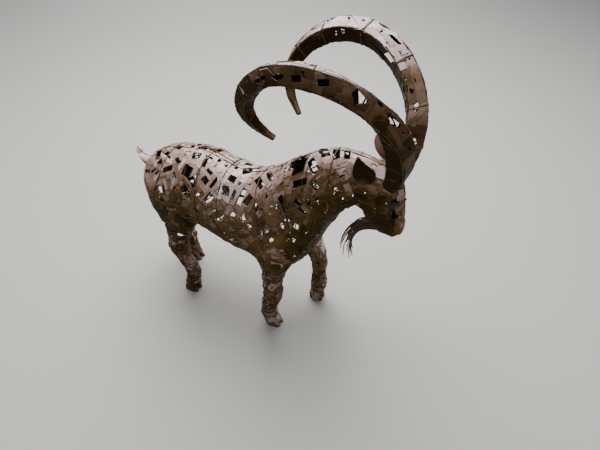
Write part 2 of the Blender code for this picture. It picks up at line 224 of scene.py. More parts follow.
# The four legs' forms, from inside the trunk to the sole: x, y, z, half-depth and half-width of each cross-
# section on the same grid.
LEGS = {
    "right_fore": (
        (21.4, -7.5, 50.0, 8.1, 4.6), (22.4, -8.8, 43.0, 7.5, 4.6), (23.3, -9.6, 37.0, 5.5, 4.0),
        (22.9, -10.0, 31.0, 4.0, 3.3), (22.2, -10.2, 25.5, 3.3, 2.8), (22.2, -10.2, 20.0, 3.4, 2.8),
        (21.6, -10.2, 15.5, 3.3, 2.4), (20.2, -10.2, 10.5, 2.8, 2.3), (19.8, -10.2, 6.8, 3.0, 2.4),
        (20.2, -10.2, 4.4, 2.7, 2.4), (22.4, -10.2, 0.0, 3.1, 2.7),
    ),
    "left_fore": (
        (22.6, 7.5, 50.0, 8.6, 4.6), (25.0, 8.8, 42.0, 7.0, 4.5), (28.2, 9.8, 36.0, 4.8, 3.9),
        (30.9, 10.4, 30.0, 3.2, 3.3), (32.3, 10.8, 25.0, 2.8, 2.9), (33.1, 11.0, 20.0, 2.4, 2.6),
        (33.0, 11.0, 15.5, 2.3, 2.4), (33.2, 11.0, 10.5, 2.8, 2.6), (32.9, 11.0, 6.5, 2.6, 2.4),
        (32.3, 11.0, 4.2, 2.4, 2.4), (32.5, 11.0, 0.0, 3.0, 2.7),
    ),
    "right_hind": (
        (-23.3, -7.6, 57.0, 7.8, 4.4), (-21.6, -8.6, 49.5, 8.7, 4.9), (-19.9, -9.4, 42.0, 7.2, 4.6),
        (-20.7, -9.6, 36.5, 5.3, 3.9), (-22.4, -9.6, 30.5, 4.0, 3.2), (-23.6, -9.6, 25.5, 3.9, 2.9),
        (-21.6, -9.4, 19.5, 2.8, 2.5), (-19.1, -9.2, 14.5, 2.6, 2.5), (-18.8, -9.2, 10.0, 2.6, 2.3),
        (-20.0, -9.2, 4.6, 2.7, 2.3), (-20.7, -9.2, 0.0, 3.4, 2.7),
    ),
    "left_hind": (
        (-25.0, 7.6, 57.0, 8.6, 4.4), (-24.4, 8.4, 49.5, 9.4, 4.9), (-25.0, 8.8, 42.0, 7.6, 4.6),
        (-28.5, 8.9, 36.0, 5.6, 3.9), (-33.1, 8.9, 30.5, 4.0, 3.2), (-35.8, 8.8, 25.5, 4.0, 2.9),
        (-34.8, 8.7, 19.5, 2.8, 2.5), (-33.6, 8.6, 14.5, 2.6, 2.5), (-33.2, 8.5, 10.0, 2.6, 2.3),
        (-32.1, 8.4, 4.6, 2.7, 2.3), (-31.2, 8.4, 0.0, 3.4, 2.7),
    ),
}


def leg_rings(rows):
    rows = along(rows, np.linspace(0, 1, 300))
    side, front = round_square(128, 2.7)
    x = rows[:, 0:1] + rows[:, 3:4] * front
    y = rows[:, 1:2] + rows[:, 4:5] * side
    z = np.repeat(rows[:, 2:3], x.shape[1], axis=1)
    return np.stack([x, y, z], axis=2)


legs = {name: Form(leg_rings(rows)) for name, rows in LEGS.items()}


def fill_crease(points, normals, others, reach=0.045):
    """Fills the crease where two forms meet, and says how far outside the other forms each point is."""
    moved, clear = points.copy(), np.full(len(points), 1.0)
    for other in others:
        near = np.all((points > other.low - reach) & (points < other.high + reach), axis=1)
        for i in np.flatnonzero(near):
            point = Vector(points[i])
            spot, normal, _, away = other.tree.find_nearest(point)
            away = math.copysign(away, (point - spot).dot(normal))
            clear[i] = min(clear[i], away)
            if abs(away) < reach:
                push = (reach - abs(away)) ** 2 / (4 * reach)
                way = (Vector(normals[i]) + normal * (1 - abs(away) / reach)).normalized()
                moved[i] += np.array(way) * push
    return moved, clear


# The skin of patches. Scraps of 2 mm sheet are laid beside and over each other on the form and tacked to the
# bars, with gaps left open between them, most on the back and flanks. Here they are laid out flat, the gaps
# are cut, and the layout is wrapped round the form. Each patch keeps its own height, tip and shade.
SHEET = 0.0018

# An outline is off a form when it misses it by more than MISS pixels. The gaps are cut WIDER than they were
# read, because the sheet's thickness hides part of each. A spot that the view passes through is cut to a
# share of its size on the near side, and larger on the far side, so that nothing stands behind it.
MISS = 2.5
WIDER = 1.18
NEAR_SPOT, FAR_SPOT = 0.74, 2.0


def choose(piece):
    bpy.ops.object.select_all(action="DESELECT")
    piece.select_set(True)
    bpy.context.view_layer.objects.active = piece


def made_piece(name, shape, smooth, wall=0.0, offset=-1, edge=0.0, shades=None):
    """A piece from its drawn shape, with the thickness of its sheet or the roundness of its edges."""
    mesh = bpy.data.meshes.new(name)
    shape.to_mesh(mesh)
    shape.free()
    if shades is not None:
        mesh.attributes.new("shade", "FLOAT", "FACE").data.foreach_set("value", shades)
    piece = bpy.data.objects.new(name, mesh)
    bpy.context.scene.collection.objects.link(piece)
    choose(piece)
    if wall:
        sheet = piece.modifiers.new("wall", "SOLIDIFY")
        sheet.thickness = wall
        sheet.offset = offset
        # The inner faces of a sheet take the second finish, which is painted shade.
        sheet.material_offset = 1 if offset else 0
        bpy.ops.object.modifier_apply(modifier="wall")
    if edge:
        bevel = piece.modifiers.new("edge", "BEVEL")
        bevel.width = edge
        bevel.segments = 2
        bevel.limit_method = "ANGLE"
        bpy.ops.object.modifier_apply(modifier="edge")
    bpy.ops.object.shade_smooth_by_angle(angle=math.radians(smooth))
    return piece


class Patchwork:
    """Patches laid out flat for one form: metres along it, and metres round it at its mean girth."""

    def __init__(self, form, seed, start=-0.5):
        self.form, self.picker, self.start = form, random.Random(seed), start
        self.flat = bmesh.new()
        self.number = self.flat.faces.layers.int.new("patch")
        self.patches = []
        self.width = form.girth.mean()

    def outline(self, x, share, length, width, turn, corners=4, uneven=0.0):
        """Corners of a patch or gap on the flat layout. turn is in degrees from the form's own length."""
        squeeze = self.width / self.form.girth_at(x)
        c, s = math.cos(math.radians(turn)), math.sin(math.radians(turn))
        a, b = length / 2, width / 2
        local = [(-a, -b), (a, -b), (a, b), (-a, b)]
        if corners == 3:
            local = [(-a, -b), (a, -b), (-length / 5, b)]
        points = []
        for a, b in local:
            a += self.picker.uniform(-uneven, uneven)
            b += self.picker.uniform(-uneven, uneven)
            points.append((x + a * c - b * s, share * self.width + (a * s + b * c) * squeeze))
        return points

    def put(self, points, x, y, lift, tip, shade=None):
        """Adds a patch that turns about its middle x, y. A few patches are much paler than the rest."""
        face = self.flat.faces.new([self.flat.verts.new((a, b, 0)) for a, b in points])
        face[self.number] = len(self.patches)
        pick = self.picker
        tips = pick.uniform(-tip, tip), pick.uniform(-tip, tip)
        if shade is None:
            shade = pick.random()
            if shade > 0.94:
                shade += 0.5
        self.patches.append((x, y, lift, *tips, shade))

    def lay(self, x, share, length, width, turn, lift, corners=4, uneven=0.003, tip=0.045, shade=None):
        points = self.outline(x, share, length, width, turn, corners, uneven)
        self.put(points, x, share * self.width, lift, tip, shade)

    def flat_points(self, corners):
        return [(x, share * self.width) for x, share in corners]

    def plate(self, corners, lift, shade=None, tip=0.01):
        """A bigger plate of its own outline, given as distances along and shares of the way round."""
        points = self.flat_points(corners)
        x, y = (sum(p[k] for p in points) / len(points) for k in (0, 1))
        self.put(points, x, y, lift, tip, shade)

    def cover(self, x0, x1, share0, share1, length, width, turn, uneven=0.004, rise=0.003, tip=0.045):
        """Covers one field with rows of patches, set like loose bricks."""
        middle, share = (x0 + x1) / 2, (share0 + share1) / 2
        girth = self.form.girth_at(middle)
        half_x, half_y = (x1 - x0) / 2, (share1 - share0) / 2 * girth
        c, s = math.cos(math.radians(turn)), math.sin(math.radians(turn))
        span = math.hypot(half_x, half_y)
        columns, rows = math.ceil(span / length) + 1, math.ceil(span / width) + 1
        for j in range(-rows, rows + 1):
            shift = self.picker.uniform(-0.5, 0.5) * length
            for i in range(-columns, columns + 1):
                a, b = i * length + shift, j * width
                across, up = a * c - b * s, a * s + b * c
                if abs(across) > half_x + 0.2 * width or abs(up) > half_y + 0.2 * width:
                    continue
                self.lay(
                    middle + across,
                    share + up / girth,
                    length + 0.003,
                    width + 0.003,
                    turn + self.picker.uniform(-5, 5),
                    self.picker.uniform(0, rise),
                    uneven=uneven,
                    tip=tip,
                )

    def border(self, x, share, length, width, turn):
        """Strips welded along the sides of a gap, over the patches."""
        girth = self.form.girth_at(x)
        c, s = math.cos(math.radians(turn)), math.sin(math.radians(turn))
        for side in range(4):
            reach, run = (width, length) if side < 2 else (length, width)
            if self.picker.random() > (0.8 if side < 2 else 0.55):
                continue
            strip = self.picker.uniform(0.012, 0.021)
            off = (reach / 2 + strip / 2) * (1 if side % 2 else -1)
            a, b = (0, off) if side < 2 else (off, 0)
            self.lay(
                x + a * c - b * s,
                share + (a * s + b * c) / girth,
                run + self.picker.uniform(0.012, 0.045),
                strip,
                turn + (0 if side < 2 else 90) + self.picker.uniform(-3, 3),
                self.picker.uniform(0.0022, 0.0042),
                uneven=0.0015,
                tip=0.015,
            )

    def from_photo(self, outline, far=False):
        """Where an outline in pixels lies on the form, or nothing if the form isn't under it."""
        found = [self.form.under_pixel(u, v, far) for u, v in outline]
        if max(off for _, _, off in found) > MISS:
            return None
        shares = np.unwrap([share for _, share, _ in found], period=1.0)
        shares -= math.floor(np.mean(shares) - self.start)
        return [(x, share) for (x, _, _), share in zip(found, shares)]

    def see_through(self, spots):
        """Opens the near side where the view passes through, and more widely the far side behind it."""
        for u, v, size in spots:
            for far, wide in ((False, NEAR_SPOT), (True, FAR_SPOT)):
                places = self.from_photo([(u, v)], far)
                if places is None:
                    continue
                x, share = places[0]
                size_here = size * wide * np.linalg.norm(self.form.spot(x, share) - VIEWPOINT) / FOCAL
                turn, corners = self.picker.uniform(0, 180), self.picker.choice((3, 4, 4))
                self.open(x, share, size_here, size_here * 0.85, turn, 4 if far else corners)

    def open(self, x, share, length, width, turn, corners=4):
        self.cut(self.outline(x, share, length, width, turn, corners, 0.0012))

    def cut(self, points):
        """Cuts a gap right through whatever lies there."""
        hole = [Vector((a, b, 0)) for a, b in points]
        middle = sum(hole, Vector()) / len(hole)
        reach = max((p - middle).length for p in hole) + 0.045
        near = [f for f in self.flat.faces if (f.calc_center_median() - middle).length < reach]
        parts = set(near)
        for face in near:
            parts.update(face.verts)
            parts.update(face.edges)
        sides = []
        for a, b in zip(hole, hole[1:] + hole[:1]):
            way = Vector((b.y - a.y, a.x - b.x, 0)).normalized()
            if way.dot(a - middle) < 0:
                way = -way
            sides.append((a, way))
            cut = bmesh.ops.bisect_plane(self.flat, geom=list(parts), dist=1e-6, plane_co=a, plane_no=way)
            parts = set(cut["geom"])
        inside = [
            f
            for f in parts
            if isinstance(f, bmesh.types.BMFace)
            and all(way.dot(f.calc_center_median() - a) < 0 for a, way in sides)
        ]
        bmesh.ops.delete(self.flat, geom=inside, context="FACES")

    def score(self, step):
        """Joins what the cuts left of each patch, and folds it along a fine grid, so that it can bend."""
        flat = self.flat
        bmesh.ops.dissolve_limit(flat, angle_limit=math.radians(1), verts=flat.verts, edges=flat.edges)
        loose = [v for v in self.flat.verts if not v.link_faces]
        bmesh.ops.delete(self.flat, geom=loose, context="VERTS")
        for axis, length in ((0, self.form.length), (1, self.width)):
            start = 0.0 if axis == 0 else -length / 2
            for n in range(math.ceil(length / step) + 1):
                spot = Vector((0, 0, 0))
                spot[axis] = start + n * step
                way = Vector((0, 0, 0))
                way[axis] = 1
                everything = self.flat.verts[:] + self.flat.edges[:] + self.flat.faces[:]
                bmesh.ops.bisect_plane(self.flat, geom=everything, dist=1e-6, plane_co=spot, plane_no=way)

    def wrap(self, name, others=(), flatness=0.45, step=0.018, painted_height_shade=0.0, reach=0.045):
        """Wraps the layout round the form, and gives the patches their thickness."""
        self.score(step)
        shape = self.flat
        shape.verts.ensure_lookup_table()
        flat = np.array([v.co[:2] for v in shape.verts])
        owner = np.array([v.link_faces[0][self.number] for v in shape.verts])
        data = np.array(self.patches)[owner]
        share = flat[:, 1] / self.width
        points = self.form.spot(flat[:, 0], share)
        normals = self.form.facing(flat[:, 0], share)
        made = np.array(self.patches)
        x, y, near = made[:, 0], made[:, 1], 0.004
        centre = self.form.spot(x, y / self.width)
        ahead = self.form.spot(x + near, y / self.width) - self.form.spot(x - near, y / self.width)
        aside = self.form.spot(x, (y + near) / self.width) - self.form.spot(x, (y - near) / self.width)
        dx, dy = flat[:, 0] - data[:, 0], flat[:, 1] - data[:, 1]
        plane = centre[owner] + (ahead[owner] * dx[:, None] + aside[owner] * dy[:, None]) / (2 * near)
        drift = np.linalg.norm(plane - points, axis=1)
        trust = flatness * np.clip(1.5 - drift / 0.006, 0, 1)[:, None]
        points = points * (1 - trust) + plane * trust
        points, clear = fill_crease(points, normals, others, reach)
        height = data[:, 2] + data[:, 3] * dx + data[:, 4] * dy
        points += normals * (height + SHEET)[:, None]
        for vertex, point in zip(shape.verts, points):
            vertex.co = point
        buried = [f for f in shape.faces if np.mean([clear[v.index] for v in f.verts]) < -0.006]
        bmesh.ops.delete(shape, geom=buried, context="FACES")
        bmesh.ops.remove_doubles(shape, verts=shape.verts, dist=1e-6)
        # Each face keeps its patch's tone, painted paler above the form's middle and darker below it, as
        # painted light and shade.
        shade = []
        for face in shape.faces:
            spot = face.calc_center_median()
            nearest = np.argmin(np.sum((self.form.middle - np.array(spot)) ** 2, axis=1))
            rise = (spot.z - self.form.middle[nearest, 2]) / (self.form.girth[nearest] / 8)
            shade.append(self.patches[face[self.number]][5] + painted_height_shade * rise)
        for face in shape.faces:
            face.normal_update()
            spot, normal, _, _ = self.form.tree.find_nearest(face.calc_center_median())
            if face.normal.dot(normal) < 0:
                face.normal_flip()
        return made_piece(name, shape, 32, SHEET, shades=shade)

    def retone(self, change):
        """Changes each patch's shade by what change says for its distance along the form."""
        self.patches = [(*patch[:5], patch[5] + change(patch[0])) for patch in self.patches]


# Gaps in the right flank, back and neck, outlined on the photo in tenths of a pixel. They run right and down
# from the pixel REAR_CORNER for the rear half and FRONT_CORNER for the front half.
REAR_CORNER, FRONT_CORNER = (140, 140), (250, 140)
REAR_GAPS = (
    ((350, 90), (385, 70), (425, 70), (405, 105)), ((510, 85), (530, 65), (560, 70), (545, 90)),
    ((590, 82), (650, 92), (640, 105), (590, 99)), ((700, 95), (775, 108), (770, 125), (705, 120)),
    ((445, 150), (475, 122), (505, 130), (480, 165)), ((262, 115), (328, 165), (285, 185)),
    ((170, 195), (180, 130), (225, 118), (195, 180)), ((360, 205), (385, 180), (402, 210), (380, 235)),
    ((195, 230), (225, 180), (245, 235)), ((530, 190), (555, 140), (600, 145), (600, 195)),
    ((620, 255), (655, 190), (700, 175), (655, 265)), ((770, 215), (790, 203), (815, 210), (795, 230)),
    ((830, 255), (868, 222), (866, 282)), ((968, 233), (1012, 238), (1000, 254)),
    ((1045, 300), (1130, 300), (1080, 345), (1050, 335)), ((440, 335), (475, 262), (540, 300), (460, 365)),
    ((245, 285), (300, 270), (320, 290), (270, 318)), ((60, 335), (100, 285), (112, 292), (75, 338)),
    ((120, 328), (160, 278), (172, 286), (132, 332)), ((162, 345), (195, 300), (205, 310), (175, 350)),
    ((665, 310), (690, 300), (725, 330), (705, 350)), ((630, 385), (655, 375), (688, 405), (650, 450)),
    ((700, 470), (762, 392), (782, 402), (722, 478)), ((495, 400), (530, 385), (560, 410), (530, 475)),
    ((338, 335), (355, 325), (372, 370), (352, 375)), ((555, 370), (578, 348), (590, 370), (566, 385)),
    ((880, 400), (925, 360), (957, 395), (940, 432)), ((980, 437), (1000, 423), (1020, 445), (1000, 464)),
    ((1160, 428), (1200, 385), (1247, 450), (1205, 468)),
    ((1275, 345), (1327, 340), (1325, 375), (1300, 402)),
    ((1118, 388), (1132, 380), (1144, 392), (1130, 402)), ((205, 475), (240, 455), (268, 490), (225, 520)),
    ((410, 512), (455, 465), (512, 545), (478, 552)), ((570, 545), (590, 492), (612, 570)),
    ((770, 508), (820, 470), (815, 515), (785, 527)), ((822, 530), (835, 460), (902, 480), (885, 557)),
    ((912, 595), (948, 508), (973, 518), (932, 600)), ((972, 622), (1038, 495), (1073, 513), (1012, 637)),
    ((1052, 640), (1098, 543), (1132, 575), (1065, 652)), ((640, 617), (690, 540), (732, 570), (700, 605)),
    ((385, 605), (395, 585), (410, 598)), ((425, 600), (445, 575), (465, 595), (442, 608)),
    ((1250, 540), (1282, 548), (1270, 602)), ((908, 765), (930, 718), (952, 742), (930, 782)),
    ((1008, 782), (1035, 753), (1062, 790), (1030, 812)), ((655, 700), (700, 670), (712, 678), (672, 708)),
    ((685, 738), (765, 680), (775, 692), (705, 742)), ((1120, 692), (1160, 640), (1190, 670), (1178, 702)),
    ((1200, 690), (1225, 678), (1240, 705), (1215, 712)),
    ((1083, 852), (1112, 840), (1122, 888), (1095, 880)),
    ((905, 990), (935, 972), (955, 1012), (925, 1018)), ((368, 955), (392, 918), (422, 965)),
    ((335, 838), (352, 830), (356, 850), (342, 858)), ((418, 792), (432, 780), (442, 796), (428, 806)),
    ((340, 1002), (385, 992), (432, 1012), (390, 1028)), ((1310, 970), (1338, 975), (1330, 998)),
    ((1185, 948), (1235, 958), (1215, 970)), ((1406, 1082), (1428, 1066), (1440, 1088), (1420, 1096)),
    ((1405, 842), (1430, 832), (1446, 866), (1428, 874)),
)
FRONT_GAPS = (
    ((410, 242), (482, 208), (452, 268), (424, 300)), ((440, 332), (532, 188), (566, 175), (540, 322)),
    ((600, 228), (650, 208), (692, 298), (615, 300)), ((710, 115), (792, 110), (748, 202)),
    ((840, 120), (902, 113), (896, 190), (838, 186)), ((440, 405), (552, 400), (552, 442), (490, 457)),
    ((308, 300), (322, 270), (332, 276), (320, 305)), ((345, 350), (358, 290), (370, 295), (362, 352)),
    ((385, 470), (402, 450), (414, 476)), ((625, 435), (662, 425), (690, 478), (648, 492)),
    ((290, 577), (325, 570), (382, 690), (345, 715)), ((448, 605), (478, 590), (522, 655), (500, 665)),
    ((552, 600), (575, 580), (605, 640), (590, 655)), ((478, 660), (492, 650), (556, 730), (545, 742)),
    ((832, 480), (862, 470), (880, 515), (850, 530)), ((438, 850), (462, 836), (494, 862), (470, 882)),
    ((303, 842), (330, 836), (348, 866), (322, 872)), ((412, 985), (438, 972), (458, 992), (432, 1004)),
    ((205, 985), (228, 970), (242, 986), (220, 998)), ((300, 1085), (322, 1066), (340, 1084), (318, 1098)),
    ((172, 1036), (186, 1026), (192, 1042), (180, 1050)),
    ((272, 1178), (290, 1130), (316, 1140), (300, 1200)), ((905, 590), (928, 565), (950, 598), (926, 606)),
    ((665, 580), (682, 575), (702, 640), (690, 646)), ((752, 708), (764, 690), (770, 716)),
    ((632, 768), (642, 752), (652, 772)), ((385, 790), (398, 782), (404, 806), (392, 812)),
    ((340, 800), (352, 782), (366, 800), (350, 812)), ((820, 340), (850, 335), (850, 352), (825, 356)),
    ((890, 350), (948, 345), (948, 368), (892, 372)), ((575, 310), (600, 300), (604, 318), (580, 324)),
    ((258, 690), (272, 640), (284, 655), (272, 700)),
)


def fitted_box(points):
    """Length, width and turn in degrees of the smallest box round flat points."""
    best = None
    for turn in range(-45, 135, 3):
        c, s = math.cos(math.radians(turn)), math.sin(math.radians(turn))
        length, width = np.ptp(points @ (c, s)), np.ptp(points @ (-s, c))
        if length >= width and (best is None or length * width < best[0] * best[1]):
            best = length, width, turn
    return best


# The skin of trunk and neck is laid field by field, between these distances along and shares of the way round.
# The patches of a field lie the way its gaps do. The gaps of the left side, unseen, are like the right's.
FIELDS_ALONG = (0.0, 0.09, 0.195, 0.30, 0.41, 0.505, 0.60, 0.69, 0.785, 0.885, 0.96, 1.03)
FIELDS_ROUND = (-0.5, -0.38, -0.26, -0.14, 0.0, 0.14, 0.26, 0.38, 0.5)

skin = Patchwork(trunk, 5)
gaps = []
left = random.Random(3)
measured = []
for corner, outlines in ((REAR_CORNER, REAR_GAPS), (FRONT_CORNER, FRONT_GAPS)):
    for outline in outlines:
        places = skin.from_photo([(corner[0] + a / 10, corner[1] + b / 10) for a, b in outline])
        if places is None:
            continue
        x, share = np.mean(places, axis=0)
        box = fitted_box(np.array([(a, b * trunk.girth_at(a)) for a, b in places]))
        measured.append((x, share, box[0] * WIDER, box[1] * WIDER, box[2], len(outline)))
for gap in sorted(measured):
    gaps.append(gap)
    x, share, length, width, turn, corners = gap
    if share < -0.03:
        x += left.uniform(-0.016, 0.016)
        share = -share + left.uniform(-0.012, 0.012)
        length *= left.uniform(0.8, 1.1)
        width *= left.uniform(0.8, 1.1)
        gaps.append((x, share, length, width, 180 - turn + left.uniform(-12, 12), corners))
for low, high in zip(FIELDS_ALONG, FIELDS_ALONG[1:]):
    for start, end in zip(FIELDS_ROUND, FIELDS_ROUND[1:]):
        turns = [4 * math.radians(g[4]) for g in gaps if low < g[0] < high and start < g[1] < end]
        if turns:
            turn = math.degrees(math.atan2(sum(map(math.sin, turns)), sum(map(math.cos, turns)))) / 4
        else:
            turn = left.uniform(-35, 35)
        skin.cover(low, high, start, end, left.uniform(0.042, 0.062), left.uniform(0.024, 0.032), turn)
        if max(abs(start), abs(end)) > 0.4:
            continue
        for _ in range(4):
            skin.lay(
                left.uniform(low, high),
                left.uniform(start, end),
                left.uniform(0.06, 0.12),
                left.uniform(0.016, 0.024),
                turn + left.choice((0, 90)) + left.uniform(-8, 8),
                left.uniform(0.0015, 0.0032),
                tip=0.02,
            )

# The face has bigger plates: cheeks, jaw, brow and nose, with slots between them at the mouth and nostrils.
for low, high in ((1.03, 1.085), (1.085, 1.14), (1.14, trunk.length)):
    for start, end in zip(FIELDS_ROUND, FIELDS_ROUND[1:]):
        skin.cover(low, high, start, end, 0.05, 0.032, left.uniform(-20, 20), uneven=0.003)
# Corners of each plate as distances along and shares of the way round, its height and how pale it is.
FACE = (
    (
        ((1.107, 0.345), (1.094, 0.265), (1.106, 0.205), (1.137, 0.172), (1.163, 0.158), (1.186, 0.172)),
        0.0042, -0.2,
    ),
    (((1.107, 0.345), (1.186, 0.172), (1.19, 0.274), (1.174, 0.366), (1.141, 0.40)), 0.0042, -0.1),
    (((1.068, 0.082), (1.07, 0.018), (1.104, 0.02), (1.092, 0.088)), 0.004, 1.7),
    (((1.100, 0.06), (1.106, 0.012), (1.137, 0.012), (1.12, 0.076)), 0.0035, 1.0),
    (((1.141, 0.125), (1.146, 0.05), (1.186, 0.04), (1.176, 0.118)), 0.0038, 1.7),
    (((1.03, 0.17), (1.035, 0.09), (1.062, 0.085), (1.068, 0.15)), 0.0035, 0.3),
    (((1.06, 0.26), (1.055, 0.18), (1.09, 0.17), (1.095, 0.25)), 0.003, 0.15),
    (((1.02, 0.36), (1.03, 0.27), (1.075, 0.28), (1.08, 0.37)), 0.003, 0.25),
    (((1.18, -0.03), (1.18, 0.03), (1.213, 0.04), (1.213, -0.04)), 0.003, 0.6),
)
SLOTS = (
    ((1.118, 0.168), (1.114, 0.152), (1.137, 0.086), (1.148, 0.094), (1.132, 0.166)),
    ((1.149, 0.155), (1.143, 0.132), (1.156, 0.128), (1.160, 0.150)),
    ((1.154, 0.062), (1.158, 0.044), (1.170, 0.043), (1.166, 0.064)),
    ((1.060, 0.046), (1.066, 0.008), (1.080, 0.012), (1.072, 0.056)),
    ((1.074, 0.172), (1.075, 0.162), (1.083, 0.168)),
    ((1.068, 0.262), (1.070, 0.25), (1.077, 0.262)),
)
# Small scraps on the head: the pixel of the photo that each one's middle lies on, its length and width in
# mm, its turn in degrees, and how pale it is.
HEAD_SCRAPS = (
    (382, 175, 34, 26, 20, 1.0), (372, 189, 36, 16, -10, 0.7), (362, 195, 40, 18, 5, -0.5),
    (387, 189, 30, 16, 35, 0.75), (394, 192, 22, 18, 80, 0.3), (400, 197, 24, 16, 90, 1.3),
    (399, 207, 30, 10, 100, 1.2), (397, 220, 26, 9, 80, 1.0), (378, 200, 30, 14, -30, -0.4),
    (370, 203, 34, 12, 15, 0.55), (384, 197, 22, 10, 60, -0.5), (388, 215, 28, 10, -50, 0.6),
    (392, 224, 20, 8, 60, -0.5), (386, 208, 18, 10, 0, 0.8),
)
# The eye socket: distance along, share of the way round, and radius in metres.
EYE = 1.098, 0.119, 0.0155
for side in (1, -1):
    for corners, lift, shade in FACE:
        skin.plate([(x, side * share) for x, share in corners], lift, shade)
    for u, v, length, width, turn, shade in HEAD_SCRAPS:
        x, share = skin.from_photo([(u, v)])[0]
        lift = left.uniform(0.0045, 0.0065)
        skin.lay(x, -side * share, length / 1000, width / 1000, -side * turn, lift, shade=shade)
    for corners in SLOTS:
        skin.cut(skin.flat_points([(x, side * share) for x, share in corners]))
    squeeze = skin.width / trunk.girth_at(EYE[0])
    hole = []
    for n in range(10):
        c, s = math.cos(n * math.pi / 5), math.sin(n * math.pi / 5)
        hole.append((EYE[0] + EYE[2] * c, side * EYE[1] * skin.width + EYE[2] * squeeze * s))
    skin.cut(hole)
for gap in gaps:
    if gap[2] > 0.018:
        skin.border(*gap[:5])
for gap in gaps:
    skin.open(*gap)

# More gaps outlined on the photo, in whole pixels: the back of the neck, the withers and the throat.
NECK_GAPS = (
    ((320, 151), (327, 150.5), (325, 158), (322, 157)),
    ((333.5, 151), (339, 151), (338.5, 159.5), (333, 159.5)),
    ((344.5, 152), (351, 152.5), (350.5, 160.5), (344, 160)),
    ((300, 157), (304, 159), (301, 167), (297, 165)), ((352.5, 193), (354.5, 196), (354, 199), (352, 196)),
    ((333, 188), (336, 189), (335, 193), (333, 192)),
)
for outline in NECK_GAPS:
    skin.cut(skin.flat_points(skin.from_photo(outline)))

# Spots where the grass behind shows right through the statue: the middle and the size, in pixels.
THROUGH = (
    (163, 188, 5), (161.5, 195.5, 3), (175, 176.5, 3.5), (179, 199.5, 2), (184.5, 199, 2), (173, 207, 3),
    (182, 219, 2), (174.5, 224, 2), (179.5, 234, 4.5), (187, 155, 3), (195, 157, 4), (192, 182, 2),
    (196, 177, 4), (197, 195, 3), (210, 196.5, 6), (219, 190.5, 3), (216.5, 178.5, 3.5), (216.5, 210.3, 2),
    (224, 215.5, 2), (232.5, 214.5, 4), (243.5, 218, 5), (243.5, 192.5, 3), (240, 201.5, 4), (256, 204.5, 2),
    (257, 210, 2), (250, 225.5, 3), (252.5, 222.5, 1.5), (225, 232.5, 2), (235, 229.5, 2), (233.5, 239, 4),
    (262, 235, 2), (268, 243.5, 2), (272, 238, 4), (282, 248, 4), (288.5, 245.5, 2), (293, 239, 5.5),
    (263, 184.5, 2), (272, 206, 4), (277, 206, 4), (270, 213.5, 3), (286, 171, 2.5), (285, 218.8, 2),
    (288, 221, 2), (283, 225.5, 4), (296.5, 225.5, 5), (305.5, 232.5, 2), (304, 212, 2.5), (314, 168.5, 5),
    (314.5, 184, 3), (317, 186.5, 3), (314.3, 216.5, 2), (326, 211.5, 3), (329.5, 190, 1.5),
    (335.5, 190, 4.5), (334, 194, 2.5), (334, 156.5, 3), (346, 153.5, 3), (343, 198, 3), (353, 194, 3),
    (365.5, 192.3, 2.5), (363.5, 184, 2), (371.5, 182.5, 3), (374, 166.5, 4), (386, 203.5, 2.5),
    (375, 208, 3),
)
skin.see_through(THROUGH)

# Smaller gaps strewn over the flanks, and larger ones with strips beside them under the belly.
for n in range(70):
    low = n < 25
    share = left.choice((-1, 1)) * left.uniform(*((0.35, 0.49) if low else (0.2, 0.40)))
    length = left.uniform(0.012, 0.026) if low else left.uniform(0.007, 0.014)
    x, width = left.uniform(0.12, 0.95), length * left.uniform(0.5, 0.9)
    spot = x, share, length, width, left.uniform(0, 180), left.choice((3, 4))
    if low:
        skin.border(*spot[:5])
    skin.open(*spot)
body_skin = skin.wrap("body_patches", legs.values(), flatness=0.75)
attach(body_skin, "root")
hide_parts("body")


def close_end(form, name, end, bulge, node, seed):
    """Plates that close the end of a form, its first or its last one, as a shallow dome."""
    pick = random.Random(seed)
    rim, inner = (0, 2) if end == 0 else (-1, -3)
    ring = form.grid[rim, :-1]
    way = form.middle[rim] - form.middle[inner]
    way = way / np.linalg.norm(way)
    middle = ring.mean(axis=0)
    shape = bmesh.new()
    picked = ring[:: form.AROUND // 24]
    rows = []
    for shrink, lift in ((1.0, 0.0), (0.72, 0.62), (0.36, 0.92)):
        rows.append([shape.verts.new(middle + (p - middle) * shrink + way * bulge * lift) for p in picked])
    join_rings(shape, rows)
    shape.faces.new(rows[-1])
    bmesh.ops.recalc_face_normals(shape, faces=shape.faces)
    if sum((f.normal.dot(Vector(way)) for f in shape.faces)) < 0:
        bmesh.ops.reverse_faces(shape, faces=shape.faces)
    tones = [pick.random() for _ in range(9)]
    shades = [tones[(i // 4) % 9] for i in range(len(shape.faces))]
    piece = made_piece(name, shape, 32, SHEET, shades=shades)
    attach(piece, "root")
    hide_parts(node)


close_end(trunk, "rump_patches", 0, 0.006, "body", 61)
close_end(trunk, "muzzle_patches", 1, 0.002, "body", 62)

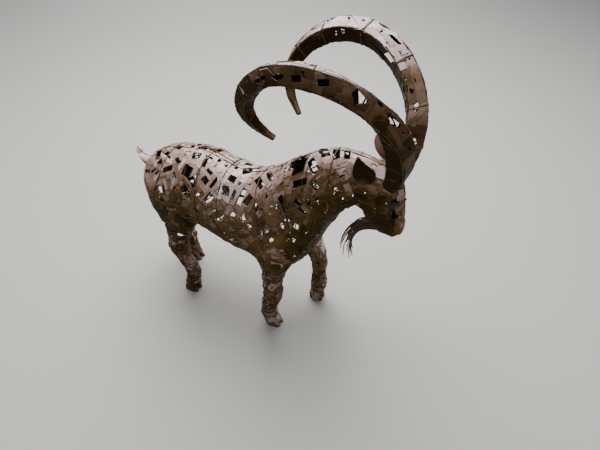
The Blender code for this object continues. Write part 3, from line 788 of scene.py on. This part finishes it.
# The legs have the same skin, with smaller patches bent round the thin forms and few gaps.
for number, (name, form) in enumerate(legs.items()):
    work = Patchwork(form, 20 + number, 0.0)
    pick = work.picker
    levels = np.linspace(0, form.length - 0.026, 9)
    for low, high in zip(levels, levels[1:]):
        for start in (0.0, 0.25, 0.5, 0.75):
            length, width = pick.uniform(0.03, 0.045), pick.uniform(0.018, 0.026)
            turn = pick.choice((0, 90)) + pick.uniform(-25, 25)
            work.cover(low, high, start, start + 0.25, length, width, turn, 0.0025, 0.0045, 0.11)
    leg_gaps = []
    for _ in range(24):
        x, share = pick.uniform(0.06, form.length - 0.05), pick.random()
        length, width = pick.uniform(0.010, 0.022), pick.uniform(0.007, 0.013)
        leg_gaps.append((x, share, length, width, pick.uniform(0, 180), pick.choice((3, 4))))
    for gap in leg_gaps:
        work.border(*gap[:5])
    for gap in leg_gaps:
        work.open(*gap)
    work.see_through(THROUGH)
    # The fore legs are made paler all over; the hind legs are painted darker near the trunk, as painted shade
    # on the thighs.
    if "fore" in name:
        work.retone(lambda x: 0.35)
    else:
        work.retone(lambda x: 0.1 if x > 0.24 else -0.35)
    piece = work.wrap(name + "_patches", [trunk], flatness=0.3, step=0.012)
    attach(piece, "root")
    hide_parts("body")

# The hooves are cloven: two closed pointed toes side by side, welded up from thicker plate. Each ring of a
# toe has its height, its narrowing and how far it is moved forward.
HOOF = ((0.0, 0.96, 0.0), (0.010, 1.0, -0.0005), (0.024, 0.92, -0.004), (0.038, 0.8, -0.007))
CLEFT = 0.0024
for name in legs:
    rows = np.array(sorted(LEGS[name], key=lambda row: row[2]))
    shape = bmesh.new()
    for side in (1, -1):
        rings = []
        for height, narrow, forward in HOOF:
            x, y, depth, width = (
                np.interp(height / GRID, rows[:, 2], rows[:, k]) * GRID for k in (0, 1, 3, 4)
            )
            depth *= 1.04
            beside = side * (width + CLEFT) / 2
            ring = []
            for n in range(20):
                angle = 2 * math.pi * n / 20
                c, s = math.cos(angle), math.sin(angle)
                front = math.copysign(abs(c) ** 0.8, c) * depth * (0.97 if c > 0 else 0.92)
                over = math.copysign(abs(s) ** 0.75, s) * width * 0.5 * (1 - 0.12 * max(c, 0)) * narrow
                ring.append(shape.verts.new((x - AHEAD + front + forward, y + beside + over, height)))
            rings.append(ring)
        join_rings(shape, rings)
        shape.faces.new(rings[0])
        shape.faces.new(rings[-1])
    bmesh.ops.recalc_face_normals(shape, faces=shape.faces)
    hoof = made_piece(name + "_hoof", shape, 35, edge=0.0016, shades=[0.35] * len(shape.faces))
    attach(hoof, "root")
    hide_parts("body")


# The bars that the patches are welded to, of 5 mm round bar. Hoops go round the trunk and long bars run from
# the rump to the head. Some lie outside the patches, and the others show inside the gaps.
BAR = 0.005


class Bars:
    """Round bars gathered in one curve, to be made one piece."""

    def __init__(self, name, thickness, sides=2):
        self.curve = bpy.data.curves.new(name, "CURVE")
        self.curve.dimensions = "3D"
        self.curve.bevel_depth = thickness / 2
        self.curve.bevel_resolution = sides
        self.curve.use_fill_caps = True

    def add(self, points, cyclic=False, radii=None):
        line = self.curve.splines.new("POLY")
        line.points.add(len(points) - 1)
        for n, point in enumerate(points):
            line.points[n].co = (*point, 1)
            line.points[n].radius = 1 if radii is None else radii[n]
        line.use_cyclic_u = cyclic

    def make(self):
        piece = bpy.data.objects.new(self.curve.name, self.curve)
        bpy.context.scene.collection.objects.link(piece)
        choose(piece)
        bpy.ops.object.convert(target="MESH")
        piece = bpy.context.active_object
        bpy.ops.object.shade_smooth_by_angle(angle=math.radians(50))
        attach(piece, "root")
        return piece


def on_form(form, stops, lift, others=(), step=0.008):
    """Points of a bar that follows a form through stops of distance along and share of the way round."""
    stops = np.array(stops, float)
    ends = form.spot(stops[:, 0], stops[:, 1])
    count = max(4, int(np.linalg.norm(np.diff(ends, axis=0), axis=1).sum() / step))
    fine = along(stops, np.linspace(0, 1, count))
    points = form.spot(fine[:, 0], fine[:, 1])
    normals = form.facing(fine[:, 0], fine[:, 1])
    points, clear = fill_crease(points, normals, others)
    return points + normals * lift, clear


def hoop(form, x, lean, lift, others=(), start=0.0, end=1.0):
    """Points of a bar round a form, or from one share of the way round to another."""
    share = np.linspace(start, end, max(8, round(72 * (end - start))), endpoint=end - start < 1)
    spots = x + lean * np.cos(2 * np.pi * share)
    normals = form.facing(spots, share)
    return fill_crease(form.spot(spots, share), normals, others)[0] + normals * lift


bars = Bars("frame_bars", BAR)
whole = {"others": legs.values(), "lift": 0.0054}
for x, lean in ((0.115, 0.02), (0.305, -0.006), (0.405, -0.014), (0.575, -0.032), (0.885, 0.004)):
    bars.add(hoop(trunk, x, lean, **whole), cyclic=True)
for start, end in ((-0.235, -0.12), (0.12, 0.235)):
    bars.add(hoop(trunk, 0.70, -0.02, start=start, end=end, **whole))
for side in (-1, 1):
    for stops in (
        (
            (0.09, 0.262), (0.20, 0.268), (0.33, 0.258), (0.42, 0.235), (0.60, 0.215), (0.70, 0.225),
            (0.78, 0.25),
        ),
        ((0.69, 0.175), (0.76, 0.195), (0.84, 0.205), (0.92, 0.222), (0.97, 0.24)),
        ((0.045, 0.2), (0.075, 0.225), (0.115, 0.265), (0.15, 0.33)),
        ((0.96, 0.40), (1.0, 0.34), (1.04, 0.20), (1.055, 0.13)),
    ):
        stops = [(x, side * share) for x, share in stops]
        bars.add(on_form(trunk, stops, 0.0062, legs.values())[0])
for stops in (
    ((0.03, 0.0), (0.3, 0.004), (0.6, -0.003), (0.9, 0.0), (1.03, 0.0)),
    ((0.16, 0.022), (0.28, 0.03), (0.38, 0.018), (0.50, 0.026)),
):
    bars.add(on_form(trunk, stops, 0.0048)[0])
for x in np.arange(0.06, 1.19, 0.088):
    bars.add(hoop(trunk, x, 0.0, -0.0042), cyclic=True)
for share in (-0.42, -0.31, -0.2, -0.15, -0.07, 0.07, 0.15, 0.2, 0.31, 0.42):
    bars.add(on_form(trunk, [(x, share) for x in (0.02, 0.4, 0.8, 1.17)], -0.0045)[0])
for name, form in legs.items():
    for x in (0.55, 0.72, 0.88):
        bars.add(hoop(form, form.length * x, 0.004, 0.0035), cyclic=True)
    for share in (0.18, 0.68):
        stops = ((0.1, share), (0.3, share + 0.02), (form.length - 0.03, share + 0.04))
        points, clear = on_form(form, stops, 0.0036, [trunk])
        bars.add([p for p, c in zip(points, clear) if c > -0.004])
bars.make()

# The two horns: square hollow beams that twist as they curl, plated on their four sides between corner bars.
# Each row has the x, y and z of a section's middle and its width, on the same grid. The right horn starts
# with RIGHT_ROOT. ROOT is how far both run on into the skull.
HORN = (
    (59.4, 2.6, 77.5, 4.6), (61.9, 4.2, 82.5, 5.5), (63.6, 6.3, 88.8, 5.7), (62.8, 9.2, 96.6, 5.6),
    (59.4, 12.5, 103.7, 5.5), (53.3, 16.0, 109.8, 5.3), (45.8, 18.5, 113.5, 5.1), (37.6, 19.3, 114.7, 5.0),
    (29.6, 18.6, 112.9, 4.7), (22.8, 17.0, 108.0, 4.2), (18.9, 14.9, 100.9, 3.5), (19.9, 12.0, 94.2, 2.5),
    (24.6, 8.8, 88.6, 1.1),
)
RIGHT_ROOT = ((60.8, 2.3, 78.3, 3.7), (62.6, 4.1, 82.7, 5.0))
ROOT = 0.018


def horn_rings(side):
    rows = along(HORN if side > 0 else RIGHT_ROOT + HORN[2:], np.linspace(0, 1, 400))
    spots = rows[:, :3]
    hub = np.array(HORN)[2:, :3].mean(axis=0)
    ahead = np.gradient(spots, axis=0)
    ahead /= np.linalg.norm(ahead, axis=1, keepdims=True)
    out = (spots - hub) - ahead * np.sum((spots - hub) * ahead, axis=1, keepdims=True)
    out /= np.linalg.norm(out, axis=1, keepdims=True)
    over = np.cross(ahead, out)
    turn = np.radians(np.linspace(5, 72, len(rows)))[:, None]
    if side < 0:
        turn += math.radians(11) * np.sin(np.linspace(0, math.pi, len(rows)))[:, None]
    over, out = over * np.cos(turn) - out * np.sin(turn), over * np.sin(turn) + out * np.cos(turn)
    corner = np.linspace(0, 1, 32, endpoint=False)
    walk = corner * 2 - 1
    square = np.concatenate(
        [
            np.stack([walk, np.ones(32)], 1),
            np.stack([np.ones(32), -walk], 1),
            np.stack([-walk, -np.ones(32)], 1),
            np.stack([-np.ones(32), walk], 1),
        ]
    )
    square = np.roll(square, -16, axis=0)
    half = rows[:, 3] / 2 * 0.985
    rings = (
        spots[:, None]
        + over[:, None] * (square[None, :, :1] * half[:, None, None])
        + out[:, None] * (square[None, :, 1:] * half[:, None, None])
    )
    root = np.arange(14, 0, -1)[:, None, None] * (ahead[0] * -ROOT / GRID / 14)
    rings = np.concatenate([rings[:1] + root, rings])
    if side < 0:
        rings[:, :, 1] *= -1
    return rings


# Gaps in the horns, outlined on the photo in pixels.
RIGHT_HORN_GAPS = (
    ((254, 82), (263, 75.5), (266.5, 76.5), (261, 83.5)),
    ((271.5, 76.5), (279, 73.5), (284, 74), (283.5, 78), (277, 80.5)),
    ((291, 75), (301, 75), (301.5, 82), (292.5, 82)), ((317, 79), (329.5, 79), (329, 86.5), (318.5, 87)),
    ((303, 64.2), (306.5, 64.2), (306.5, 65.8), (304.5, 65.8)),
    ((319, 66.5), (322, 67), (327, 69.5), (322, 69.5)), ((336, 73), (341, 73.5), (346.5, 76.5), (339, 76)),
    ((351, 93), (357, 88), (368, 101), (366.5, 104.5), (355, 104.5)),
    ((376, 100), (381, 103), (384, 107), (379, 106)),
    ((386, 113), (390, 113), (400, 124), (399, 128), (391, 124)),
    ((388, 121), (396, 126), (394, 127), (389, 123)), ((401, 130), (405, 133), (403, 135)),
    ((238, 87), (241, 86), (241, 89.5), (238, 91)), ((377, 117), (380, 115.5), (379, 119)),
    ((408, 147), (411, 149), (409, 152)),
)
LEFT_HORN_GAPS = (
    ((297, 41), (299, 44), (297, 47.5), (295, 47)), ((304, 32), (306, 35), (305, 38), (302.5, 33.5)),
    ((314, 27), (315.5, 28), (312, 31), (311, 29.5)), ((327, 21), (331, 20.5), (330, 22), (328, 22.8)),
    ((347, 17.5), (351, 17.8), (349, 21.5)), ((361, 20), (366, 20.8), (365, 22), (362, 21.8)),
    ((383, 30), (382.5, 33), (379, 34), (380, 32)),
    ((388, 35), (392, 35.5), (402, 45), (398, 45), (391, 39)), ((385, 43), (387, 42), (388, 45)),
    ((384, 54), (389, 52), (394, 57), (398, 64), (391, 62)), ((398, 52), (402, 51), (404, 55), (400, 55)),
    ((333, 28), (337, 28.5), (337, 35), (334, 35)), ((341, 28), (345, 29), (344.5, 33), (342, 33)),
    ((359, 33), (362, 32), (361, 36)), ((299, 44), (304, 44), (301, 47)), ((408, 57), (411, 59), (409, 61)),
    ((402, 79), (407, 79), (404, 83)), ((409, 88), (414, 90), (413, 94), (410, 93)),
    ((413, 77), (416, 80), (415, 84)), ((413, 104), (418, 101), (419.5, 107), (416, 113), (413.5, 110)),
    ((409, 140), (415, 138), (417, 143), (413, 146)), ((404, 86), (407, 85), (408, 92), (405, 93)),
)
# Where the view comes out again on the horn's far side, behind some of those gaps.
RIGHT_HORN_THROUGH = (
    ((358.5, 90.5), (367, 100), (366.5, 103.5), (359, 103.5)),
    ((389, 118), (398, 123), (397, 127), (391, 124)),
)
LEFT_HORN_THROUGH = (
    ((335, 31), (338, 31), (337.5, 35), (335, 35)), ((342, 29), (345.5, 30), (344, 33)),
    ((386, 54), (391, 53), (397, 61), (397, 63), (390, 60)), ((400, 51), (403, 50), (404, 55), (401, 56)),
    ((405, 79), (407.5, 79), (406, 82.5)), ((414, 105), (418, 102), (419, 107), (415, 112)),
    ((410, 139), (416, 138), (417, 144), (412, 146)),
)

for side, name, seen, through in (
    (1, "horn_left", LEFT_HORN_GAPS, LEFT_HORN_THROUGH),
    (-1, "horn_right", RIGHT_HORN_GAPS, RIGHT_HORN_THROUGH),
):
    form = Form(horn_rings(side))
    work = Patchwork(form, 40 + side, -0.125)
    pick = work.picker
    for face in range(4):
        x = 0.0
        while x < form.length - 0.03:
            wide = form.girth_at(x) / 4 * 0.93
            length = pick.uniform(0.03, 0.06)
            columns = [(0.0, wide)]
            if wide > 0.036 and pick.random() < 0.6:
                cut = pick.uniform(0.35, 0.65) * wide
                columns = [(-(wide - cut) / 2, cut + 0.002), (cut / 2, wide - cut + 0.002)]
            for off, width in columns:
                work.lay(
                    x + length / 2,
                    face / 4 + off / form.girth_at(x),
                    length + 0.005,
                    width,
                    pick.uniform(-7, 7),
                    pick.uniform(0, 0.002),
                    uneven=0.002,
                    tip=0.03,
                )
            if wide > 0.03 and pick.random() < 0.5:
                work.lay(
                    x + length / 2,
                    face / 4 + pick.uniform(-0.3, 0.3) * wide / form.girth_at(x),
                    pick.uniform(0.03, 0.08),
                    pick.uniform(0.012, 0.018),
                    pick.choice((0, 90, 45, -45)) + pick.uniform(-12, 12),
                    pick.uniform(0.002, 0.003),
                    tip=0.02,
                )
            x += length
        work.lay(form.length - 0.016, face / 4, 0.032, form.girth_at(form.length - 0.016) / 4, 0, 0.0005)
    found = [work.from_photo(outline) for outline in seen]
    found = [places for places in found if places]
    for places in found + [work.from_photo(outline, True) for outline in through]:
        if places:
            work.cut(work.flat_points(places))
    for places in found[::2]:
        way = 0.5 if pick.random() < 0.5 else -0.25 * side
        slide = pick.uniform(-0.02, 0.02)
        middle = np.mean([share for _, share in places]) + way
        way -= math.floor(middle + 0.125)
        work.cut(work.flat_points([(x + slide, share + way) for x, share in places]))
    # The far horn is painted darker all over, as painted shade.
    far = 0.32 if side > 0 else 0.0
    work.retone(lambda x: (0.45 if x < ROOT + 0.07 else -0.75 if x > form.length - 0.13 else 0.0) - far)
    # The horns are painted paler above their middle and darker below, as painted light and shade.
    plates = work.wrap(name + "_patches", [trunk], 0.0, 0.012, 0.42, 0.030)
    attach(plates, "root")
    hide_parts(name)
    close_end(form, name + "_tip_patches", 1, 0.002, name, 70 + side)
    edge = Bars(name + "_bars", 0.0048)
    for corner in (0.125, 0.375, 0.625, 0.875):
        fine = np.linspace(ROOT, form.length - 0.002, 130)
        wobble = np.array([pick.uniform(-0.0008, 0.0008) for _ in fine])
        points = form.spot(fine, np.full(130, corner))
        edge.add(points + form.facing(fine, np.full(130, corner)) * wobble[:, None])
    for x in (0.12, 0.226, 0.36, 0.511, 0.648, 0.742, 0.85):
        share = np.linspace(0, 1, 64, endpoint=False)
        slide = 0.004 if side > 0 else -0.003
        spots = x + ROOT + slide + 0.006 * np.sin(2 * np.pi * share + 9 * x)
        edge.add(form.spot(spots, share) + form.facing(spots, share) * 0.0026, cyclic=True)
    edge.make()

# The beard: loose ends of thin bar, gathered under the chin and fanned out towards their tips. BEARD is the
# x and z of the middle rod, from the chin down.
BEARD = (
    (60.4, 60.4), (57.8, 60.2), (54.3, 59.2), (51.4, 57.2), (49.2, 53.2), (47.9, 48.2), (48.3, 42.2),
)

pick = random.Random(17)
beard = Bars("beard_rods_bars", 0.0052)
for row, up in enumerate((-1.3, -0.85, -0.4, 0.0, 0.4, 0.85, 1.3)):
    for n in range(4 if row % 2 else 5):
        over = (n - (1.5 if row % 2 else 2)) * 0.72
        reach = 1 - 0.34 * pick.random()
        sway = pick.uniform(-1.9, 1.9)
        swing = pick.uniform(-1.6, 1.6)
        points, radii = [], []
        t = np.linspace(0, reach, 26)
        for place, (x, z) in zip(t, along(BEARD, t)):
            fan = 1 + 1.7 * place**2
            wave = 0.25 * math.sin(9 * place + 5 * sway)
            points.append(
                (
                    (x - 0.3 * up * fan + sway * place**2 + wave * place) * GRID - AHEAD,
                    (over * fan + swing * place**2) * GRID,
                    (z + up * 1.1 * fan * (1 - 0.7 * place)) * GRID,
                )
            )
            radii.append(1.05 - 0.45 * place)
        beard.add(points, radii=radii)
beard_piece = beard.make()
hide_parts(*[name for name in frame["nodes"] if name.startswith("beard")])

# The ears: leaves of sheet, cupped and edged with thin bar, on a short stem of bar from the skull. They are
# outlined from the side on the same grid. STAND_OFF is how far the middle of each is from the middle plane.
STAND_OFF = 8.3
EARS = {
    "ear_right": (
        (51.6, 89.0), (50.8, 86.2), (50.5, 83.8), (51.0, 81.6), (52.4, 80.6), (54.2, 80.4),
        (56.2, 80.9), (57.4, 82.2), (57.5, 84.3), (57.0, 85.6), (55.5, 86.5), (53.5, 87.6),
    ),
    "ear_left": (
        (52.4, 88.6), (51.6, 87.3), (51.3, 85.5), (51.8, 83.4), (53.0, 81.5), (54.5, 80.1),
        (56.6, 79.4), (57.2, 80.5), (56.8, 82.7), (55.8, 85.0), (54.6, 87.0), (53.4, 88.3),
    ),
}
trim = Bars("rim_bars", 0.0030)
for side, (name, outline) in zip((-1, 1), EARS.items()):
    closed = along(outline + outline[:1], np.linspace(0, 1, 45))[:-1]
    middle = closed.mean(axis=0)
    shape = bmesh.new()
    rings = []
    for share in (1.0, 0.85, 0.65, 0.42, 0.2):
        ring = []
        for x, z in middle + (closed - middle) * share:
            slant = (x - middle[0]) * 0.75 + (z - middle[1]) * 0.35
            cup = 1 - share**2 + 0.25 * math.exp(-(slant**2))
            ring.append(shape.verts.new((x * GRID - AHEAD, side * (STAND_OFF - cup) * GRID, z * GRID)))
        rings.append(ring)
    join_rings(shape, rings)
    shape.faces.new(rings[-1])
    bmesh.ops.recalc_face_normals(shape, faces=shape.faces)
    leaf = made_piece(name + "_leaf", shape, 40, 0.0022, 0)
    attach(leaf, "root")
    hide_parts(name)
    trim.add([(x * GRID - AHEAD, side * STAND_OFF * GRID, z * GRID) for x, z in closed], cyclic=True)
    for x, z in ((56.6, 81.4), (56.9, 82.8)):
        start = Vector((x * GRID - AHEAD, side * (STAND_OFF - 0.1) * GRID, z * GRID))
        end = trunk.tree.find_nearest(start + Vector((0.012, 0, -0.004)))[0]
        bow = Vector((0, 0, 0.003))
        trim.add([start.lerp(end, n / 6) + bow * math.sin(math.pi * n / 6) for n in range(7)])

# The tail: one piece of sheet rolled to a pointed upturned horn, welded shut along its seam and to the rump.
# Each row has the x and z of a section's middle and its half-width.
TAIL = ((-33.0, 58.9, 3.3), (-37.4, 58.6, 3.1), (-40.5, 59.2, 2.5), (-42.6, 60.8, 1.7), (-43.9, 63.0, 0.55))
shape = bmesh.new()
rings = []
rows = along(TAIL, np.linspace(0, 1, 22))
lean = np.gradient(rows[:, :2], axis=0)
lean /= np.linalg.norm(lean, axis=1, keepdims=True)
for (x, z, wide), (run, rise) in zip(rows, lean):
    ring = []
    for n in range(28):
        angle = 2 * math.pi * (n + 0.5) / 28
        up = wide * math.cos(angle) * (0.62 if math.cos(angle) > 0 else 0.95)
        spot = (x - up * rise, wide * 1.02 * math.sin(angle), z + up * abs(run))
        ring.append(shape.verts.new((spot[0] * GRID - AHEAD, spot[1] * GRID, spot[2] * GRID)))
    rings.append(ring)
join_rings(shape, rings)
shape.faces.new(rings[0])
shape.faces.new(rings[-1])
bmesh.ops.recalc_face_normals(shape, faces=shape.faces)
tail = made_piece("tail_leaf", shape, 50)
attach(tail, "root")
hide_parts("tail")
trim.add([(x * GRID - AHEAD, 0.0, (z + wide * 0.62) * GRID) for x, z, wide in rows[4:]])

# The eyes keep their solids. A thin bar rings each eye socket.
for side in (-1, 1):
    x, share = EYE[0], side * EYE[1]
    ring = []
    for n in range(28):
        angle = 2 * math.pi * n / 28
        place = x + 0.0165 * math.cos(angle), share + 0.0165 * math.sin(angle) / trunk.girth_at(x)
        spot = trunk.spot(*place) + trunk.facing(*place) * 0.0035
        ring.append(spot)
    trim.add(ring, cyclic=True)
trim.make()


# The finishes: rust of many tones under clear lacquer. rust() picks a place on a row of tones, from dark to
# pale, for every spot of a piece. Spots that face up are painted paler, as painted sky light and a painted
# reflection of the sky, and spots that face down are painted darker, as painted shade.
class Wire:
    """A shader socket that can stand in a sum."""

    def __init__(self, finish, socket):
        self.finish, self.socket = finish, socket

    def sum(self, operation, first, second):
        return self.finish.add("ShaderNodeMath", {"operation": operation}, {0: first, 1: second})

    def __add__(self, other):
        return self.sum("ADD", self, other)

    __radd__ = __add__

    def __sub__(self, other):
        return self.sum("SUBTRACT", self, other)

    def __rsub__(self, other):
        return self.sum("SUBTRACT", other, self)

    def __mul__(self, other):
        return self.sum("MULTIPLY", self, other)

    __rmul__ = __mul__


class Finish:
    """A material in the making."""

    def __init__(self, name, **plain):
        self.material = bpy.data.materials.new(name)
        self.material.use_nodes = True
        self.tree = self.material.node_tree
        self.shader = self.tree.nodes["Principled BSDF"]
        for key, value in plain.items():
            self.shader.inputs[key.replace("_", " ")].default_value = value

    def add(self, kind, settings, sockets, output=0):
        node = self.tree.nodes.new(kind)
        for key, value in settings.items():
            if key == "stops":
                ramp = node.color_ramp
                while len(ramp.elements) < len(value):
                    ramp.elements.new(1)
                for element, (place, colour) in zip(ramp.elements, value):
                    element.position = place
                    element.color = colour
            else:
                setattr(node, key, value)
        for key, value in sockets.items():
            self.feed(node.inputs[key], value)
        return Wire(self, node.outputs[output])

    def feed(self, socket, value):
        if isinstance(value, Wire):
            self.tree.links.new(value.socket, socket)
        else:
            socket.default_value = value

    def noise(self, scale, detail=4.0, rough=0.55):
        place = self.add("ShaderNodeTexCoord", {}, {}, "Object")
        sockets = {"Vector": place, "Scale": scale, "Detail": detail, "Roughness": rough}
        return self.add("ShaderNodeTexNoise", {}, sockets)

    def spread(self, value, low, high, to_low=0.0, to_high=1.0):
        sockets = {"Value": value, "From Min": low, "From Max": high, "To Min": to_low, "To Max": to_high}
        return self.add("ShaderNodeMapRange", {"clamp": True}, sockets)

    def mix(self, share, first, second):
        return self.add("ShaderNodeMix", {"data_type": "RGBA"}, {0: share, 6: first, 7: second}, 2)

    def set(self, socket, value):
        self.feed(self.shader.inputs[socket], value)


def rust(name, tones, has_shade=True, metal=0.2, coat=0.65, lift=0.06, vary=0.24, sky_light_weight=0.70, full=0.7):
    """Rusted sheet under clear lacquer: each patch has its own tone, with blotches, speckle and painted light
    over it.
    """
    made = Finish(name, Metallic=metal, Coat_Roughness=0.3, Specular_IOR_Level=0.06)
    blotch = made.spread(made.noise(11.0, 5.0), 0.35, 0.66)
    fine = made.spread(made.noise(90.0, 6.0, 0.65), 0.38, 0.68)
    speck = made.spread(made.noise(420.0, 3.0), 0.56, 0.72)
    facing = made.add("ShaderNodeNewGeometry", {}, {}, "Normal")
    # How far each spot faces up: tops are painted paler as painted sky light and undersides darker as painted
    # shade. The coat weight follows it too.
    painted_sky_light = made.spread(made.add("ShaderNodeSeparateXYZ", {}, {0: facing}, "Z"), -0.3, full)
    place = lift + painted_sky_light * sky_light_weight + (blotch - 0.5) * 0.18
    if has_shade:
        shade = made.add("ShaderNodeAttribute", {"attribute_name": "shade"}, {}, "Fac")
        place = place + (shade - 0.5) * vary
    stops = [(n / (len(tones) - 1), (*tone, 1)) for n, tone in enumerate(tones)]
    colour = made.add("ShaderNodeValToRGB", {"stops": stops}, {"Fac": place}, "Color")
    dark, deep = tones[0], tuple(0.45 * c for c in tones[0])
    colour = made.mix(fine * 0.3, colour, (*dark, 1))
    colour = made.mix(speck * 0.4, colour, (*deep, 1))
    made.set("Base Color", colour)
    made.set("Coat Weight", made.spread(painted_sky_light, 0.40, 0.85, 0.0, coat))
    made.set("Roughness", 0.42 + fine * 0.2 + blotch * 0.08)
    rough = made.noise(60.0, 5.0, 0.6) + made.noise(500.0, 2.0) * 0.25
    sockets = {"Strength": 0.4, "Distance": 0.0012, "Height": rough}
    made.set("Normal", made.add("ShaderNodeBump", {}, sockets))
    return made.material


# Rows of tones from dark to pale for sheet and horns. The dark olive end is painted shade with painted green
# light from below, the pale lavender end is painted sky light on tops, and the rust's own tones lie between.
RUST_AND_LIGHT_TONES = (
    (0.027, 0.0158, 0.0010), (0.078, 0.0445, 0.0050), (0.200, 0.112, 0.044), (0.470, 0.312, 0.255),
    (0.680, 0.560, 0.585),
)
HORN_RUST_AND_LIGHT_TONES = (
    (0.026, 0.0145, 0.0012), (0.052, 0.028, 0.0035), (0.190, 0.112, 0.058), (0.440, 0.300, 0.240),
    (0.620, 0.530, 0.580),
)
# The inside of the sheet: rust without lacquer, painted near black as painted shade inside the hollow.
INSIDE_RUST_AND_SHADE_TONES = (0.010, 0.006, 0.002), (0.025, 0.014, 0.007), (0.05, 0.026, 0.014)
# The far (left) ear's tones, painted paler as painted light.
LIT_EAR_TONES = (0.1, 0.06, 0.04), (0.33, 0.20, 0.15), (0.45, 0.30, 0.27)
BAR_TONES = (0.09, 0.06, 0.028), (0.10, 0.066, 0.036), (0.12, 0.08, 0.055)
ROD_TONES = (0.08, 0.054, 0.032), (0.16, 0.11, 0.075), (0.40, 0.30, 0.26)
# The near (right) ear's tones, painted dark as painted shade.
SHADED_EAR_TONES = (0.018, 0.012, 0.001), (0.045, 0.027, 0.004), (0.35, 0.2, 0.14)
sheet_rust = rust("rusted_sheet", RUST_AND_LIGHT_TONES)
horn_rust = rust("rusted_horn", HORN_RUST_AND_LIGHT_TONES, lift=0.0, sky_light_weight=0.84, full=0.92)
leg_rust = rust("rusted_leg", RUST_AND_LIGHT_TONES, lift=0.09, vary=0.42)
plain_rust = rust("rusted_plate", RUST_AND_LIGHT_TONES, has_shade=False, lift=0.26)
lit_ear_rust = rust("rusted_leaf", LIT_EAR_TONES, has_shade=False, lift=0.30)
inside_rust_and_shade = rust("rusted_inside", INSIDE_RUST_AND_SHADE_TONES, has_shade=False, coat=0.1)
bar_rust = rust("rusted_bar", BAR_TONES, has_shade=False, coat=0.1)
beard_rust = rust("rusted_rods", ROD_TONES, has_shade=False, coat=0.2)
shaded_ear_rust = rust("rusted_ear", SHADED_EAR_TONES, has_shade=False, coat=0.1)
eye_steel = Finish("dark_eye", Metallic=0.0, Coat_Weight=0.06, Coat_Roughness=0.2, Roughness=0.6)
mottle = eye_steel.spread(eye_steel.noise(160.0), 0.4, 0.65)
eye_steel.set("Base Color", eye_steel.mix(mottle, (0.012, 0.012, 0.012, 1), (0.05, 0.03, 0.02, 1)))
for obj in bpy.context.scene.objects:
    if obj.type != "MESH":
        continue
    if obj.name.endswith(("_leaf", "_patches", "_hoof", "_bars")):
        obj.data.materials.clear()
    if obj.name.endswith("_leaf"):
        # Both ears are one sheet: the near (right) ear is painted dark as painted shade, the far (left) ear
        # paler as painted light.
        sorts = {"ear_right_leaf": shaded_ear_rust, "ear_left_leaf": lit_ear_rust}
        obj.data.materials.append(sorts.get(obj.name, plain_rust))
    elif obj.name.endswith(("_patches", "_hoof")):
        leg = obj.name.endswith("_hoof") or obj.name.startswith(tuple(legs))
        obj.data.materials.append(leg_rust if leg else horn_rust if "horn" in obj.name else sheet_rust)
        obj.data.materials.append(inside_rust_and_shade)
    elif obj.name.endswith("_bars"):
        obj.data.materials.append(beard_rust if "beard" in obj.name else bar_rust)
for name, node in frame["nodes"].items():
    finish = bar_rust if name.startswith("beard") else plain_rust
    if name.startswith("eye"):
        finish = eye_steel.material
    for place in node.material_slots:
        place.material = finish

# The floor, the light and the camera, which looks down from standing height as the photograph does.
bpy.ops.mesh.primitive_plane_add(size=30, location=(0, 0, 0))
floor = bpy.context.active_object
floor.name = "floor"
floor_paint = Finish("floor_paint", Base_Color=(0.50, 0.485, 0.45, 1), Roughness=0.85)
floor.data.materials.append(floor_paint.material)

world = bpy.data.worlds.new("studio")
bpy.context.scene.world = world
world.use_nodes = True
world.node_tree.nodes["Background"].inputs["Color"].default_value = (0.80, 0.86, 1.0, 1)
world.node_tree.nodes["Background"].inputs["Strength"].default_value = 0.16


def soft_light(name, place, aim, size, power, colour):
    light = bpy.data.lights.new(name, "AREA")
    light.size = size
    light.energy = power
    light.color = colour
    lamp = bpy.data.objects.new(name, light)
    lamp.location = place
    lamp.rotation_euler = (Vector(aim) - Vector(place)).to_track_quat("-Z", "Y").to_euler()
    bpy.context.scene.collection.objects.link(lamp)


soft_light("overhead", (-0.5, 1.0, 3.6), (0, 0, 0.5), 3.4, 290, (0.96, 0.97, 1.0))
soft_light("far", (-3.2, 5.0, 4.2), (-3.0, 4.8, 0), 4.0, 260, (0.96, 0.97, 1.0))
soft_light("side", (2.6, -2.0, 2.6), (0, 0, 0.5), 2.0, 16, (1.0, 0.96, 0.90))

camera_data = bpy.data.cameras.new("camera")
camera_data.sensor_width = 36
camera_data.lens = FOCAL * camera_data.sensor_width / (2 * PHOTO_MIDDLE[0])
camera = bpy.data.objects.new("camera", camera_data)
camera.location = VIEWPOINT
camera.rotation_euler = (math.pi / 2 - TILT, 0, YAW)
bpy.context.scene.collection.objects.link(camera)
bpy.context.scene.camera = camera
